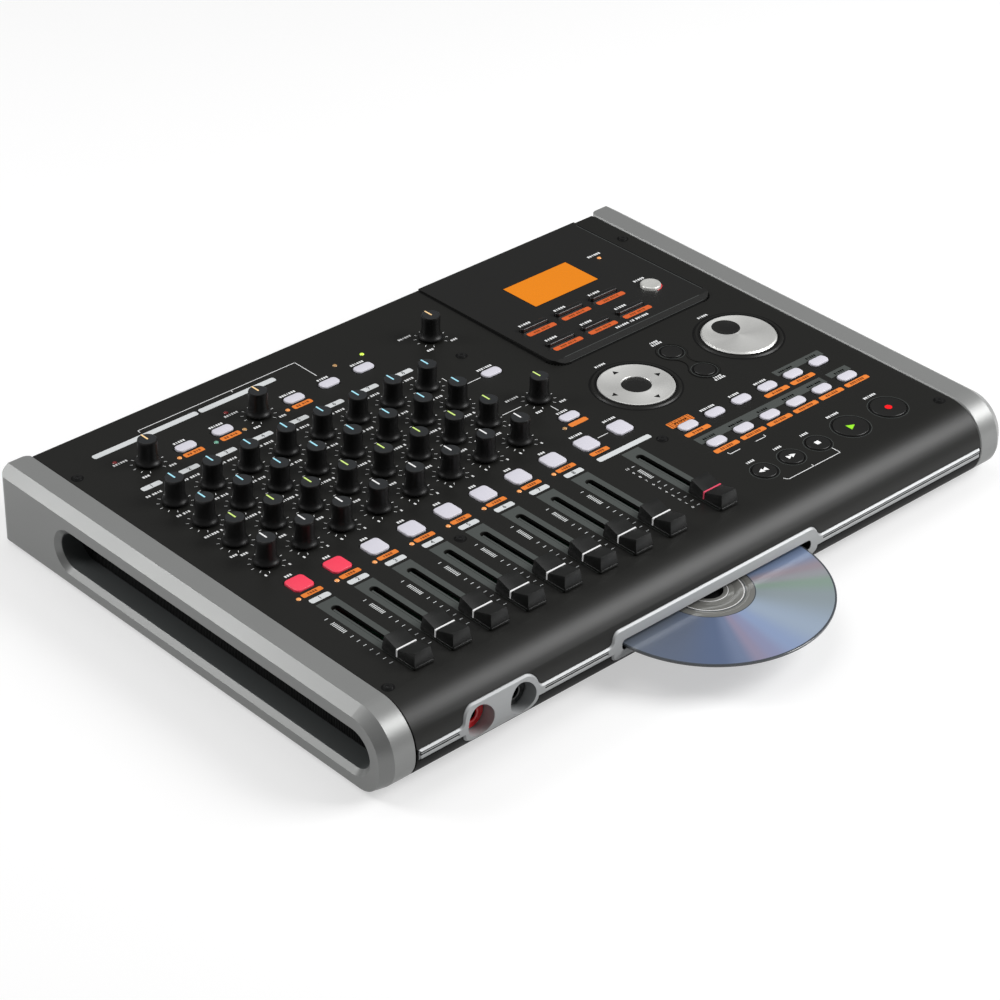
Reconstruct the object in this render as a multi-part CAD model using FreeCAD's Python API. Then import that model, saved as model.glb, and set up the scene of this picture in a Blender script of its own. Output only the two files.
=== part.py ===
"""Desktop digital multitrack recorder with a slot-loading disc drive.

X runs from left to right, Y from the front edge to the rear, Z upwards.
All lengths are millimetres.  While the pieces are made, Y is counted from the
front face and Z from the surface that the feet stand on.  When they are
written, they are moved along Y so that the middle of the whole recorder, with
the disc half out, lies at zero.
"""
import FreeCAD, Part
import math
import os

V = FreeCAD.Vector

# Layout from left to right
LEFT_MARGIN = 26.4
COLUMN_PITCH = 22.5
CHANNELS = 8
CHANNEL_KEY_COUNT = 10
FIELD_GAP = 16.9
POD_WIDTH = 112.0
RIGHT_MARGIN = 13.8
HOUSING_WIDTH = LEFT_MARGIN + (CHANNEL_KEY_COUNT - 1) * COLUMN_PITCH + FIELD_GAP + POD_WIDTH + RIGHT_MARGIN
HOUSING_HALF = HOUSING_WIDTH / 2
FIRST_COLUMN_X = LEFT_MARGIN - HOUSING_HALF
POD_RIGHT_X = HOUSING_HALF - RIGHT_MARGIN
POD_LEFT_X = POD_RIGHT_X - POD_WIDTH

# Layout from front to rear
FADER_REST_Y = 36.9
FADER_TRAVEL = 43.7
KEY_ROW_GAP = 29.6
KNOB_ROW_GAP = 23.0
KNOB_ROW_PITCH = 22.4
LEVEL_ROW_GAP = 35.2
REAR_MARGIN = 41.4
POD_LENGTH = 105.8
CHANNEL_KEY_Y = FADER_REST_Y + FADER_TRAVEL + KEY_ROW_GAP
FRONT_KNOB_ROW_Y = CHANNEL_KEY_Y + KNOB_ROW_GAP
KNOB_ROWS_Y = tuple(FRONT_KNOB_ROW_Y + KNOB_ROW_PITCH * row for row in (3, 2, 1, 0))
LEVEL_ROW_Y = KNOB_ROWS_Y[0] + LEVEL_ROW_GAP
HOUSING_DEPTH = LEVEL_ROW_Y + REAR_MARGIN
POD_FRONT_Y = HOUSING_DEPTH - POD_LENGTH

# Housing
TOP_RADIUS = 21.0
FRONT_FLAT = 1.0
UNDER_RADIUS = 16.5
HOUSING_HEIGHT = TOP_RADIUS + FRONT_FLAT + UNDER_RADIUS
FOOT_HEIGHT = 2.5
FOOT_RADIUS = 8.5
FOOT_INSET = 8.8
FOOT_X = HOUSING_HALF - FOOT_INSET
FOOT_FRONT_Y = 22.0
FOOT_REAR_Y = HOUSING_DEPTH - FOOT_FRONT_Y
PANEL_SHEET = 1.5
TRAY_WALL = 2.0
SEAM = 0.3

# Side cheeks
CHEEK_GAP = 0.4
CHEEK_BAND = 12.3
CHEEK_BEVEL = 5.8
CHEEK_DROP = 3.9
CHEEK_PROUD = 0.8
CHEEK_OVERHANG = 2.0
CHEEK_CORNER = 4.4
CHEEK_EDGE = 0.6
RECESS_FRONT_Y = 9.6
RECESS_REAR_MARGIN = 40.5
RECESS_REAR_Y = HOUSING_DEPTH - RECESS_REAR_MARGIN
RECESS_TOP = 9.2
RECESS_BOTTOM = 33.4
RECESS_RIM = 2.5
RECESS_RIM_DEPTH = 2.5
RECESS_DEPTH = 14.6

# Disc and its drive
DISC_RADIUS = 60.0
DISC_HOLE_RADIUS = 7.5
DISC_THICK = 1.2
DISC_DROP = 21.9
DISC_X = -1.6
DISC_CENTRE_Y = 6.1
DISC_TRAVEL = 57.0
DISC_SIDE_GAP = 1.5
SLOT_X = -0.8
SLOT_SIDE = 2.5
SLOT_WIDTH = 2 * (DISC_RADIUS + SLOT_SIDE)
SLOT_ABOVE = 3.9
SLOT_BELOW = 1.5
SLOT_CORNER = 2.2
DRIVE_WALL = 4.5
DRIVE_REAR_WALL = 9.6
DRIVE_WIDTH = 2 * (DISC_RADIUS + DISC_SIDE_GAP + DRIVE_WALL)
DRIVE_HEIGHT = 12.7
DRIVE_FRONT_Y = 4.2
DRIVE_REAR_Y = DISC_CENTRE_Y + DISC_TRAVEL + DISC_RADIUS + DISC_SIDE_GAP + DRIVE_REAR_WALL
DRIVE_CAVITY = 2.4

# Front jacks
JACK_DROP = 20.5
JACK_PITCH = 25.0
JACK_HOLE_RADIUS = 7.75
JACK_BUSH_RADIUS = 7.2
JACK_BORE_RADIUS = 3.2
JACK_BORE_DEPTH = 26.0
JACK_BODY = 13.0
JACK_BODY_LENGTH = 29.0
JACK_SETBACK = 6.4
JACK_BUSH_LENGTH = 2.8
JACK_TUBE_WALL = 1.2
JACK_TUBE_GAP = 0.4

# Front moulding
TRIM_THICK = 2.6
TRIM_PROUD = 0.7
TRIM_EDGE = 0.8
STRIP_SHORT = 1.0
STRIP_TOP = 18.5
STRIP_HEIGHT = 5.4
STRIP_GROOVE = 1.4
STRIP_GROOVE_DROP = 2.1
STRIP_GROOVE_DEPTH = 0.9
JACK_PLATE_MARGIN = 49.3
JACK_PLATE_X = JACK_PLATE_MARGIN - HOUSING_HALF
JACK_PLATE_WALL = 2.25
JACK_PLATE_WIDTH = JACK_PITCH + 2 * (JACK_HOLE_RADIUS + JACK_PLATE_WALL)
JACK_PLATE_TOP = 10.8
JACK_PLATE_BOTTOM = 30.0
JACK_PLATE_CORNER = 7.0
BEZEL_SIDE = 5.5
BEZEL_WIDTH = SLOT_WIDTH + 2 * BEZEL_SIDE
BEZEL_TOP = 12.9
BEZEL_BOTTOM = 29.0
BEZEL_CORNER = 5.0
PLATE_BLEND = 3.0
TRIM_SEAM = 0.3

# Rear sockets, counted from the nearer side of the housing
SOCKET_HEIGHT = 20.0
SOCKET_FLANGE = 1.6
SOCKET_MARGIN = 35.8
MIC_PITCH = 32.0
LINE_MARGIN = 97.8
LINE_PITCH = 24.0
MIC_SOCKET_XS = (SOCKET_MARGIN - HOUSING_HALF, SOCKET_MARGIN + MIC_PITCH - HOUSING_HALF)
MIC_BORE_RADIUS = 9.6
MIC_WALL = 1.4
MIC_FLANGE_RADIUS = 13.0
MIC_DEPTH = 14.0
LINE_SOCKET_XS = (LINE_MARGIN - HOUSING_HALF, LINE_MARGIN + LINE_PITCH - HOUSING_HALF)
LINE_FLANGE_RADIUS = 6.6
LINE_BODY_RADIUS = 5.4
LINE_DEPTH = 26.0
POWER_INLET_X = HOUSING_HALF - SOCKET_MARGIN
INLET_BORE_RADIUS = 2.8
INLET_BODY_RADIUS = 5.0
INLET_FLANGE_RADIUS = 6.0
INLET_DEPTH = 10.0
SOCKET_END_WALL = 2.0

# Circuit board and what stands on it
BOARD_DROP = 12.0
BOARD_THICK = 1.6
BOARD_HALF = HOUSING_HALF - RIGHT_MARGIN
BOARD_FRONT_Y = 19.0
BOARD_SOCKET_GAP = 0.6
BOARD_REAR_Y = HOUSING_DEPTH + SOCKET_FLANGE - MIC_DEPTH - SOCKET_END_WALL - BOARD_SOCKET_GAP
SWITCH_SIZE = 6.0
SWITCH_HEIGHT = 4.0
STANDOFF_RADIUS = 3.2

# Control grid
MASTER_COLUMN = 8.5
LEVEL_COLUMNS = (0.5, 3.5, 8.5)
INPUT_KEY_COLUMNS = (1.5, 2.5, 4.5, 5.5, 6.5)

# Knobs and their potentiometers
KNOB_BASE_RADIUS = 6.4
KNOB_WAIST_RADIUS = 5.5
KNOB_TOP_RADIUS = 4.9
KNOB_HEIGHT = 13.9
KNOB_SKIRT = 1.6
KNOB_CLEAR = 1.0
SHAFT_RADIUS = 3.0
SHAFT_HOLE_RADIUS = 3.5
POT_SIZE = 11.0
POT_HEIGHT = 6.5
SHAFT_LIFT = 0.3

# Faders
FADER_SLOT_WIDTH = 4.6
FADER_SLOT_MARGIN = 3.2
CAP_REAR = 10.0
CAP_REAR_TOP = 8.9
CAP_FRONT = 11.6
CAP_FRONT_TOP = 10.4
CAP_REAR_WIDTH = 11.8
CAP_REAR_TOP_WIDTH = 11.0
CAP_FRONT_WIDTH = 11.2
CAP_FRONT_TOP_WIDTH = 9.4
CAP_HEIGHT = 8.2
CAP_VALLEY = 5.2
CAP_CLEAR = 0.6
CAP_FOOT = 1.4
CAP_STEM_LENGTH = 5.0
CAP_STEM_WIDTH = 1.6
FADER_BODY_WIDTH = 9.0
FADER_BODY_HEIGHT = 7.0
FADER_BODY_MARGIN = 8.0
FADER_CHANNEL_DEPTH = 2.0

# Keys of the channels and the inputs
KEY_PROUD = 0.5
KEY_GAP = 0.3
KEY_FLANGE = 0.9
KEY_FLANGE_THICK = 1.0
KEY_EDGE = 0.4
KEY_TRAVEL = 0.8
KEY_STEM_RADIUS = 1.8
CHANNEL_KEY_WIDTH = 11.0
CHANNEL_KEY_LENGTH = 10.6
CHANNEL_KEY_CORNER = 2.2
PILL_WIDTH = 11.2
PILL_LENGTH = 6.0
RETURN_PILL_BEFORE = 10.1
SOLO_PILL_BEHIND = 0.8
MASTER_PILL_YS = (KNOB_ROWS_Y[0] - RETURN_PILL_BEFORE, FRONT_KNOB_ROW_Y + SOLO_PILL_BEHIND)

# Keys on the right: _IN counts from the pod's left side, _BEFORE from its front
RIGHT_KEY_IN = 9.5
RIGHT_KEY_BEFORE = 81.6
RIGHT_KEY_FIRST_X = POD_LEFT_X + RIGHT_KEY_IN
RIGHT_KEY_PITCH = 18.7
RIGHT_KEY_ROW_PITCH = 19.4
RIGHT_KEY_COLUMNS = 6
RIGHT_KEY_ROWS_Y = (POD_FRONT_Y - RIGHT_KEY_BEFORE - RIGHT_KEY_ROW_PITCH, POD_FRONT_Y - RIGHT_KEY_BEFORE)
SMALL_TRANSPORT_RADIUS = 6.1
LARGE_TRANSPORT_RADIUS = 9.1
TRANSPORT_BEFORE = 134.6
TRANSPORT_IN = 7.6
TRANSPORT_PITCH = 18.8
PLAY_GAP = 23.5
RECORD_GAP = 27.3
TRANSPORT_Y = POD_FRONT_Y - TRANSPORT_BEFORE
REWIND_X = POD_LEFT_X + TRANSPORT_IN
FORWARD_X = REWIND_X + TRANSPORT_PITCH
STOP_X = FORWARD_X + TRANSPORT_PITCH
PLAY_X = STOP_X + PLAY_GAP
RECORD_X = PLAY_X + RECORD_GAP
ANSWER_RADIUS = 5.6
ANSWER_IN = 54.0
YES_BEFORE = 26.2
NO_BEFORE = 49.4
ANSWER_X = POD_LEFT_X + ANSWER_IN
YES_Y = POD_FRONT_Y - YES_BEFORE
NO_Y = POD_FRONT_Y - NO_BEFORE

# Cursor key and data wheel
CURSOR_IN = 17.4
CURSOR_BEFORE = 37.8
CURSOR_X = POD_LEFT_X + CURSOR_IN
CURSOR_Y = POD_FRONT_Y - CURSOR_BEFORE
CURSOR_RADIUS = 19.7
CURSOR_PROUD = 0.9
CURSOR_CENTRE_RADIUS = 7.7
CURSOR_DISH = 0.5
DATA_WHEEL_IN = 91.7
DATA_WHEEL_BEFORE = 37.1
DATA_WHEEL_X = POD_LEFT_X + DATA_WHEEL_IN
DATA_WHEEL_Y = POD_FRONT_Y - DATA_WHEEL_BEFORE
DATA_WHEEL_RADIUS = 19.6
DATA_WHEEL_PROUD = 1.2
DATA_WHEEL_LIP = 0.7
DIMPLE_OFFSET = 9.3
DIMPLE_RADIUS = 7.4
DIMPLE_DEPTH = 1.1
COLLAR_WIDTH = 2.8
COLLAR_PROUD = 0.7
WHEEL_GAP = 0.5
WHEEL_SKIRT = 2.2

# Display pod
POD_CORNER = 8.0
POD_HEIGHT = 2.0
POD_REAR_HEIGHT = 0.9
POD_BEVEL = 3.4
POD_BEVEL_DROP = 1.5
LCD_WIDTH = 43.7
LCD_LENGTH = 23.0
LCD_IN = 32.9
LCD_BEHIND = 51.2
LCD_LEFT_X = POD_LEFT_X + LCD_IN
LCD_RIGHT_X = LCD_LEFT_X + LCD_WIDTH
LCD_FRONT_Y = POD_FRONT_Y + LCD_BEHIND
LCD_REAR_Y = LCD_FRONT_Y + LCD_LENGTH
LCD_SINK = 0.5
LCD_BACK_MARGIN = 4.0
DISPLAY_KEY_IN = 17.5
DISPLAY_KEY_BEHIND = 17.1
DISPLAY_KEY_PITCH = 24.6
DISPLAY_KEY_ROW_PITCH = 19.6
DISPLAY_KEY_COLUMNS = 3
DISPLAY_KEY_FIRST_X = POD_LEFT_X + DISPLAY_KEY_IN
DISPLAY_KEY_XS = tuple(DISPLAY_KEY_FIRST_X + DISPLAY_KEY_PITCH * step for step in range(DISPLAY_KEY_COLUMNS))
DISPLAY_KEY_FRONT_Y = POD_FRONT_Y + DISPLAY_KEY_BEHIND
DISPLAY_KEY_ROWS_Y = (DISPLAY_KEY_FRONT_Y, DISPLAY_KEY_FRONT_Y + DISPLAY_KEY_ROW_PITCH)
DISPLAY_KEY_WIDTH = 18.6
DISPLAY_KEY_LENGTH = 3.2
DISPLAY_KEY_CORNER = 1.4
POWER_IN = 92.4
POWER_BEHIND = 27.4
POWER_X = POD_LEFT_X + POWER_IN
POWER_Y = POD_FRONT_Y + POWER_BEHIND
POWER_RADIUS = 5.5
POWER_PROUD = 1.4

# Screws
SCREW_HEAD_RADIUS = 2.5
SCREW_HEAD_HEIGHT = 0.9
SCREW_SHANK_RADIUS = 1.5
SCREW_SHANK_LENGTH = 7.0
SCREW_CLEAR = 0.2
LEFT_SCREW_INSET = 4.5
RIGHT_SCREW_INSET = 5.8
CORNER_SCREW_XS = (LEFT_SCREW_INSET - HOUSING_HALF, HOUSING_HALF - RIGHT_SCREW_INSET)
CORNER_SCREW_FRONT_Y = 24.2
CORNER_SCREW_REAR_MARGIN = 29.8
CORNER_SCREW_REAR_Y = HOUSING_DEPTH - CORNER_SCREW_REAR_MARGIN
MIDDLE_SCREW_BEFORE = 20.9
MIDDLE_SCREW_BEHIND = 11.9
MIDDLE_SCREW_FRONT_Y = CHANNEL_KEY_Y - MIDDLE_SCREW_BEFORE
MIDDLE_SCREW_REAR_Y = KNOB_ROWS_Y[0] + MIDDLE_SCREW_BEHIND
MIDDLE_SCREW_COLUMNS = (3.515, 9.373)
BOSS_RADIUS = 4.0
POST_RADIUS = 4.2
POST_INSET = 20.8
POST_FRONT_Y = 60.0
POST_REAR_MARGIN = 77.0
POST_REAR_Y = HOUSING_DEPTH - POST_REAR_MARGIN
POST_MIDDLE_COLUMN = 5.75
POST_DRIVE_GAP = 25.8

# Levels worked out from the sizes above
BASE_Z = FOOT_HEIGHT
PANEL_Z = BASE_Z + HOUSING_HEIGHT
PANEL_UNDER_Z = PANEL_Z - PANEL_SHEET
BOARD_TOP_Z = PANEL_Z - BOARD_DROP
BOARD_UNDER_Z = BOARD_TOP_Z - BOARD_THICK
FLOOR_Z = BASE_Z + TRAY_WALL
DISC_Z = PANEL_Z - DISC_DROP
CHEEK_INNER_X = HOUSING_HALF + CHEEK_GAP
CHEEK_OUTER_X = CHEEK_INNER_X + CHEEK_BAND + CHEEK_BEVEL
CHEEK_REAR_Y = HOUSING_DEPTH + CHEEK_OVERHANG
REAR_REACH = max(CHEEK_REAR_Y, HOUSING_DEPTH + SOCKET_FLANGE)
FRONT_REACH = DISC_CENTRE_Y - DISC_RADIUS
MIDDLE_Y = (REAR_REACH + FRONT_REACH) / 2

# How far a cutter reaches past the face that it cuts
CUT_PAST = 1.0
QUARTER_TURN = 90
FULL_TURN = 360


def column_x(index):
    """X of a column of the control grid, where 0 is the first channel."""
    return FIRST_COLUMN_X + COLUMN_PITCH * index


MIDDLE_SCREWS = (
    (column_x(MIDDLE_SCREW_COLUMNS[0]), MIDDLE_SCREW_FRONT_Y),
    (column_x(MIDDLE_SCREW_COLUMNS[1]), MIDDLE_SCREW_FRONT_Y),
    (column_x(MASTER_COLUMN), MIDDLE_SCREW_REAR_Y),
)
POSTS = (
    (POST_INSET - HOUSING_HALF, POST_FRONT_Y),
    (HOUSING_HALF - POST_INSET, POST_FRONT_Y),
    (POST_INSET - HOUSING_HALF, POST_REAR_Y),
    (HOUSING_HALF - POST_INSET, POST_REAR_Y),
    (column_x(POST_MIDDLE_COLUMN), POST_REAR_Y),
    (POD_LEFT_X, DRIVE_REAR_Y + POST_DRIVE_GAP),
)


def box(x0, x1, y0, y1, z0, z1):
    """A plain box between two corners."""
    return Part.makeBox(x1 - x0, y1 - y0, z1 - z0, V(x0, y0, z0))


def post(x, y, z0, z1, radius):
    """An upright cylinder."""
    return Part.makeCylinder(radius, z1 - z0, V(x, y, z0))


def barrel(x, z, y0, y1, radius):
    """A cylinder along Y."""
    return Part.makeCylinder(radius, y1 - y0, V(x, y0, z), V(0, 1, 0))


def rounded_outline(width, length, corner):
    """A closed outline in the XY plane about the origin, with round corners."""
    half_w = width / 2
    half_l = length / 2
    corner = min(corner, half_w, half_l)
    edges = []
    arcs = []
    for quarter, (sign_x, sign_y) in enumerate(((1, 1), (-1, 1), (-1, -1), (1, -1))):
        centre = V(sign_x * (half_w - corner), sign_y * (half_l - corner), 0)
        start = quarter * QUARTER_TURN
        arcs.append(Part.makeCircle(corner, centre, V(0, 0, 1), start, start + QUARTER_TURN))
    for index, arc in enumerate(arcs):
        following = arcs[(index + 1) % len(arcs)]
        edges.append(arc)
        start = arc.valueAt(arc.LastParameter)
        end = following.valueAt(following.FirstParameter)
        if start.distanceToPoint(end) > 1e-6:
            edges.append(Part.makeLine(start, end))
    return Part.Wire(edges)


def rounded_plate(x, y, z0, z1, width, length, corner):
    """An upright prism with a rounded outline, centred on x and y."""
    wire = rounded_outline(width, length, corner)
    wire.translate(V(x, y, z0))
    return Part.Face(wire).extrude(V(0, 0, z1 - z0))


def turned(points, x, y):
    """A solid turned about the vertical line through x and y.

    Points are pairs of radius and height, listed round the half section.
    """
    corners = [V(x + radius, y, z) for radius, z in points]
    section = Part.Face(Part.makePolygon(corners + [corners[0]]))
    return section.revolve(V(x, y, 0), V(0, 0, 1), FULL_TURN)


def side_wire(x, front, top, rear, bottom, top_radius, under_radius):
    """The side outline of the recorder in the plane at x.

    front, rear, top and bottom are its limits; the two radii round its front.
    """
    def point(y, z):
        """A point of the outline."""
        return V(x, y, z)

    def corner(centre_y, centre_z, radius, angle):
        """A point on a front corner's circle."""
        return point(centre_y + radius * math.cos(angle), centre_z + radius * math.sin(angle))

    upper_y = front + top_radius
    upper_z = top - top_radius
    lower_y = front + under_radius
    lower_z = bottom + under_radius
    upper_mid = corner(upper_y, upper_z, top_radius, math.radians(135))
    lower_mid = corner(lower_y, lower_z, under_radius, math.radians(225))
    edges = [
        Part.makeLine(point(rear, bottom), point(rear, top)),
        Part.makeLine(point(rear, top), point(upper_y, top)),
        Part.Arc(point(upper_y, top), upper_mid, point(front, upper_z)).toShape(),
        Part.makeLine(point(front, upper_z), point(front, lower_z)),
        Part.Arc(point(front, lower_z), lower_mid, point(lower_y, bottom)).toShape(),
        Part.makeLine(point(lower_y, bottom), point(rear, bottom)),
    ]
    return Part.Wire(edges)


def housing_block(inset, half_width, top=None, rear=None):
    """The body between the cheeks, shrunk by inset all round."""
    wire = side_wire(
        -half_width,
        inset,
        PANEL_Z - inset if top is None else top,
        HOUSING_DEPTH - inset if rear is None else rear,
        BASE_Z + inset,
        TOP_RADIUS - inset,
        UNDER_RADIUS - inset,
    )
    return Part.Face(wire).extrude(V(2 * half_width, 0, 0))


def compound(shapes):
    """Several solids kept apart in one node."""
    return Part.makeCompound(list(shapes))


# Front moulding


def plate_prism(x, width, top, bottom, corner, grow=0):
    """An outline with round corners in the front face, pushed through along Y.

    top and bottom count down from the panel.
    """
    height = bottom - top + 2 * grow
    wire = rounded_outline(width + 2 * grow, height, corner + grow)
    wire.rotate(V(0, 0, 0), V(1, 0, 0), QUARTER_TURN)
    wire.translate(V(x, TOP_RADIUS, PANEL_Z - (top + bottom) / 2))
    return Part.Face(wire).extrude(V(0, -2 * TOP_RADIUS, 0))


def trim_prism(grow):
    """The whole outline of the front moulding, pushed through along Y."""
    strip = box(
        STRIP_SHORT - HOUSING_HALF - grow,
        HOUSING_HALF - STRIP_SHORT + grow,
        -TOP_RADIUS,
        TOP_RADIUS,
        PANEL_Z - STRIP_TOP - STRIP_HEIGHT - grow,
        PANEL_Z - STRIP_TOP + grow,
    )
    outlines = (
        (JACK_PLATE_X, JACK_PLATE_WIDTH, JACK_PLATE_TOP, JACK_PLATE_BOTTOM, JACK_PLATE_CORNER),
        (SLOT_X, BEZEL_WIDTH, BEZEL_TOP, BEZEL_BOTTOM, BEZEL_CORNER),
    )
    plates = []
    sides = []
    for x, width, top, bottom, corner in outlines:
        plates.append(plate_prism(x, width, top, bottom, corner, grow))
        sides.append(x - width / 2 - grow)
        sides.append(x + width / 2 + grow)
    whole = strip.fuse(plates).removeSplitter()
    upper_z = PANEL_Z - STRIP_TOP + grow
    blends = []
    for edge in whole.Edges:
        middle = edge.CenterOfMass
        along_y = abs(edge.tangentAt(edge.FirstParameter).y) > 0.99
        at_side = any(abs(middle.x - side) < 0.01 for side in sides)
        if along_y and at_side and abs(middle.z - upper_z) < 0.01:
            blends.append(edge)
    return whole.makeFillet(PLATE_BLEND, blends)


def outer_rim(body):
    """The edges where the moulding's front surface meets its sides."""
    tangent_drops = (TOP_RADIUS, TOP_RADIUS + FRONT_FLAT)
    rim = []
    for edge in body.Edges:
        points = edge.discretize(5)
        if any(front_distance(point) > 0.001 for point in points):
            continue
        drops = [PANEL_Z - point.z for point in points]
        level = max(drops) - min(drops) < 0.001
        if level and any(abs(drops[0] - drop) < 0.001 for drop in tangent_drops):
            continue
        rim.append(edge)
    return rim


def front_distance(point):
    """How far a point lies from the moulding's front surface."""
    drop = PANEL_Z - point.z
    if drop < TOP_RADIUS:
        radius = TOP_RADIUS + TRIM_PROUD
        return abs(math.hypot(point.y - TOP_RADIUS, drop - TOP_RADIUS) - radius)
    if drop > TOP_RADIUS + FRONT_FLAT:
        radius = UNDER_RADIUS + TRIM_PROUD
        return abs(math.hypot(point.y - UNDER_RADIUS, drop - TOP_RADIUS - FRONT_FLAT) - radius)
    return abs(point.y + TRIM_PROUD)


def front_trim():
    """The silver front moulding: ridged strip, jack plate and disc bezel.

    It follows the roll of the housing and stands a little proud of it.
    """
    outside = housing_block(-TRIM_PROUD, HOUSING_HALF)
    inside = housing_block(TRIM_THICK - TRIM_PROUD, HOUSING_HALF + SEAM)
    body = trim_prism(0).common(outside.cut(inside))
    body = body.makeChamfer(TRIM_EDGE, outer_rim(body))
    z = PANEL_Z - JACK_DROP
    tube_radius = JACK_HOLE_RADIUS + JACK_TUBE_WALL
    tube_end = JACK_SETBACK + JACK_BUSH_LENGTH - JACK_TUBE_GAP
    tubes = [barrel(x, z, TRIM_EDGE, tube_end, tube_radius).common(outside) for x in jack_xs()]
    body = body.fuse(tubes)
    groove_top = PANEL_Z - STRIP_TOP - STRIP_GROOVE_DROP
    jack_left = JACK_PLATE_X - JACK_PLATE_WIDTH / 2
    jack_right = JACK_PLATE_X + JACK_PLATE_WIDTH / 2
    bezel_left = SLOT_X - BEZEL_WIDTH / 2
    bezel_right = SLOT_X + BEZEL_WIDTH / 2
    runs = (
        (-HOUSING_HALF, jack_left - PLATE_BLEND),
        (jack_right + PLATE_BLEND, bezel_left - PLATE_BLEND),
        (bezel_right + PLATE_BLEND, HOUSING_HALF),
    )
    cuts = []
    for start, end in runs:
        corners = [
            V(start, -TRIM_PROUD, groove_top),
            V(start, STRIP_GROOVE_DEPTH - TRIM_PROUD, groove_top),
            V(start, -TRIM_PROUD, groove_top - STRIP_GROOVE),
            V(start, -TRIM_PROUD - CUT_PAST, groove_top - STRIP_GROOVE),
            V(start, -TRIM_PROUD - CUT_PAST, groove_top),
        ]
        section = Part.Face(Part.makePolygon(corners + [corners[0]]))
        cuts.append(section.extrude(V(end - start, 0, 0)))
    cuts.append(plate_prism(SLOT_X, SLOT_WIDTH, DISC_DROP - SLOT_ABOVE, DISC_DROP + SLOT_BELOW, SLOT_CORNER))
    for x in jack_xs():
        cuts.append(barrel(x, z, -CUT_PAST, tube_end + CUT_PAST, JACK_HOLE_RADIUS))
    return body.cut(cuts)


def jack_xs():
    """X of the two front jacks."""
    return (JACK_PLATE_X - JACK_PITCH / 2, JACK_PLATE_X + JACK_PITCH / 2)


def front_jacks():
    """The two jack sockets behind the jack plate."""
    z = PANEL_Z - JACK_DROP
    solids = []
    for x in jack_xs():
        half = JACK_BODY / 2
        front = JACK_SETBACK + JACK_BUSH_LENGTH
        body = box(x - half, x + half, front, front + JACK_BODY_LENGTH, z - half, z + half)
        bush = barrel(x, z, JACK_SETBACK, front, JACK_BUSH_RADIUS)
        bore = barrel(x, z, JACK_SETBACK, JACK_SETBACK + JACK_BORE_DEPTH, JACK_BORE_RADIUS)
        solids.append(body.fuse(bush).cut(bore))
    return compound(solids)


# Housing


def cheek(side):
    """A side cheek with its bevelled outer edge and long grip recess.

    side is -1 for the left cheek and 1 for the right one.
    """
    inner_x = side * CHEEK_INNER_X
    outer_x = side * CHEEK_OUTER_X
    sections = (
        (CHEEK_INNER_X, CHEEK_EDGE),
        (CHEEK_INNER_X + CHEEK_EDGE, 0),
        (CHEEK_INNER_X + CHEEK_BAND, 0),
        (CHEEK_OUTER_X, CHEEK_DROP),
    )
    wires = []
    for reach, drop in sections:
        wires.append(side_wire(
            side * reach,
            drop,
            PANEL_Z + CHEEK_PROUD - drop,
            CHEEK_REAR_Y,
            BASE_Z,
            TOP_RADIUS + CHEEK_PROUD - drop,
            UNDER_RADIUS - drop,
        ))
    body = Part.makeLoft(wires, True, True)
    plan = rounded_plate(
        (inner_x + outer_x) / 2,
        0,
        BASE_Z,
        PANEL_Z + CHEEK_PROUD,
        CHEEK_OUTER_X - CHEEK_INNER_X,
        2 * CHEEK_REAR_Y,
        CHEEK_CORNER,
    )
    body = body.common(plan)
    rim_x = side * (CHEEK_OUTER_X - RECESS_RIM_DEPTH)
    floor_x = side * (CHEEK_OUTER_X - RECESS_DEPTH)
    mouth = recess_wire(outer_x, 0)
    throat = recess_wire(rim_x, RECESS_RIM)
    floor = recess_wire(floor_x, RECESS_RIM)
    funnel = Part.makeLoft([mouth, throat], True, True)
    pocket = Part.makeLoft([throat, floor], True, True)
    return body.cut([funnel, pocket])


def recess_wire(x, inset):
    """The stadium outline of the grip recess in the plane at x."""
    height = RECESS_BOTTOM - RECESS_TOP
    length = RECESS_REAR_Y - RECESS_FRONT_Y
    wire = rounded_outline(height - 2 * inset, length - 2 * inset, height / 2 - inset)
    wire.rotate(V(0, 0, 0), V(0, 1, 0), QUARTER_TURN)
    middle_y = (RECESS_REAR_Y + RECESS_FRONT_Y) / 2
    wire.translate(V(x, middle_y, PANEL_Z - (RECESS_TOP + RECESS_BOTTOM) / 2))
    return wire


def panel_holes():
    """Everything that is cut through the top panel."""
    low = PANEL_UNDER_Z - CUT_PAST
    high = PANEL_Z + COLLAR_PROUD + CUT_PAST
    holes = []
    for x, y in knob_places():
        holes.append(post(x, y, low, high, SHAFT_HOLE_RADIUS))
    for x in fader_xs():
        length = FADER_TRAVEL + CAP_STEM_LENGTH + 2 * FADER_SLOT_MARGIN
        middle = FADER_REST_Y + FADER_TRAVEL / 2
        holes.append(rounded_plate(x, middle, low, high, FADER_SLOT_WIDTH, length, FADER_SLOT_WIDTH / 2))
    for x, y in channel_key_places():
        holes.append(key_hole(x, y, CHANNEL_KEY_WIDTH, CHANNEL_KEY_LENGTH, CHANNEL_KEY_CORNER, low, high))
    for x, y in input_key_places() + function_key_places():
        holes.append(key_hole(x, y, PILL_WIDTH, PILL_LENGTH, PILL_LENGTH / 2, low, high))
    for name, x, y, radius in round_keys():
        holes.append(post(x, y, low, high, radius + KEY_GAP))
    holes.append(post(CURSOR_X, CURSOR_Y, low, high, CURSOR_RADIUS + WHEEL_GAP))
    holes.append(post(DATA_WHEEL_X, DATA_WHEEL_Y, low, high, DATA_WHEEL_RADIUS + WHEEL_GAP))
    for x, y in top_screw_places():
        holes.append(post(x, y, low, high, SCREW_SHANK_RADIUS + SCREW_CLEAR))
    holes.append(pod_block(SEAM, low, high))
    return holes


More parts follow.
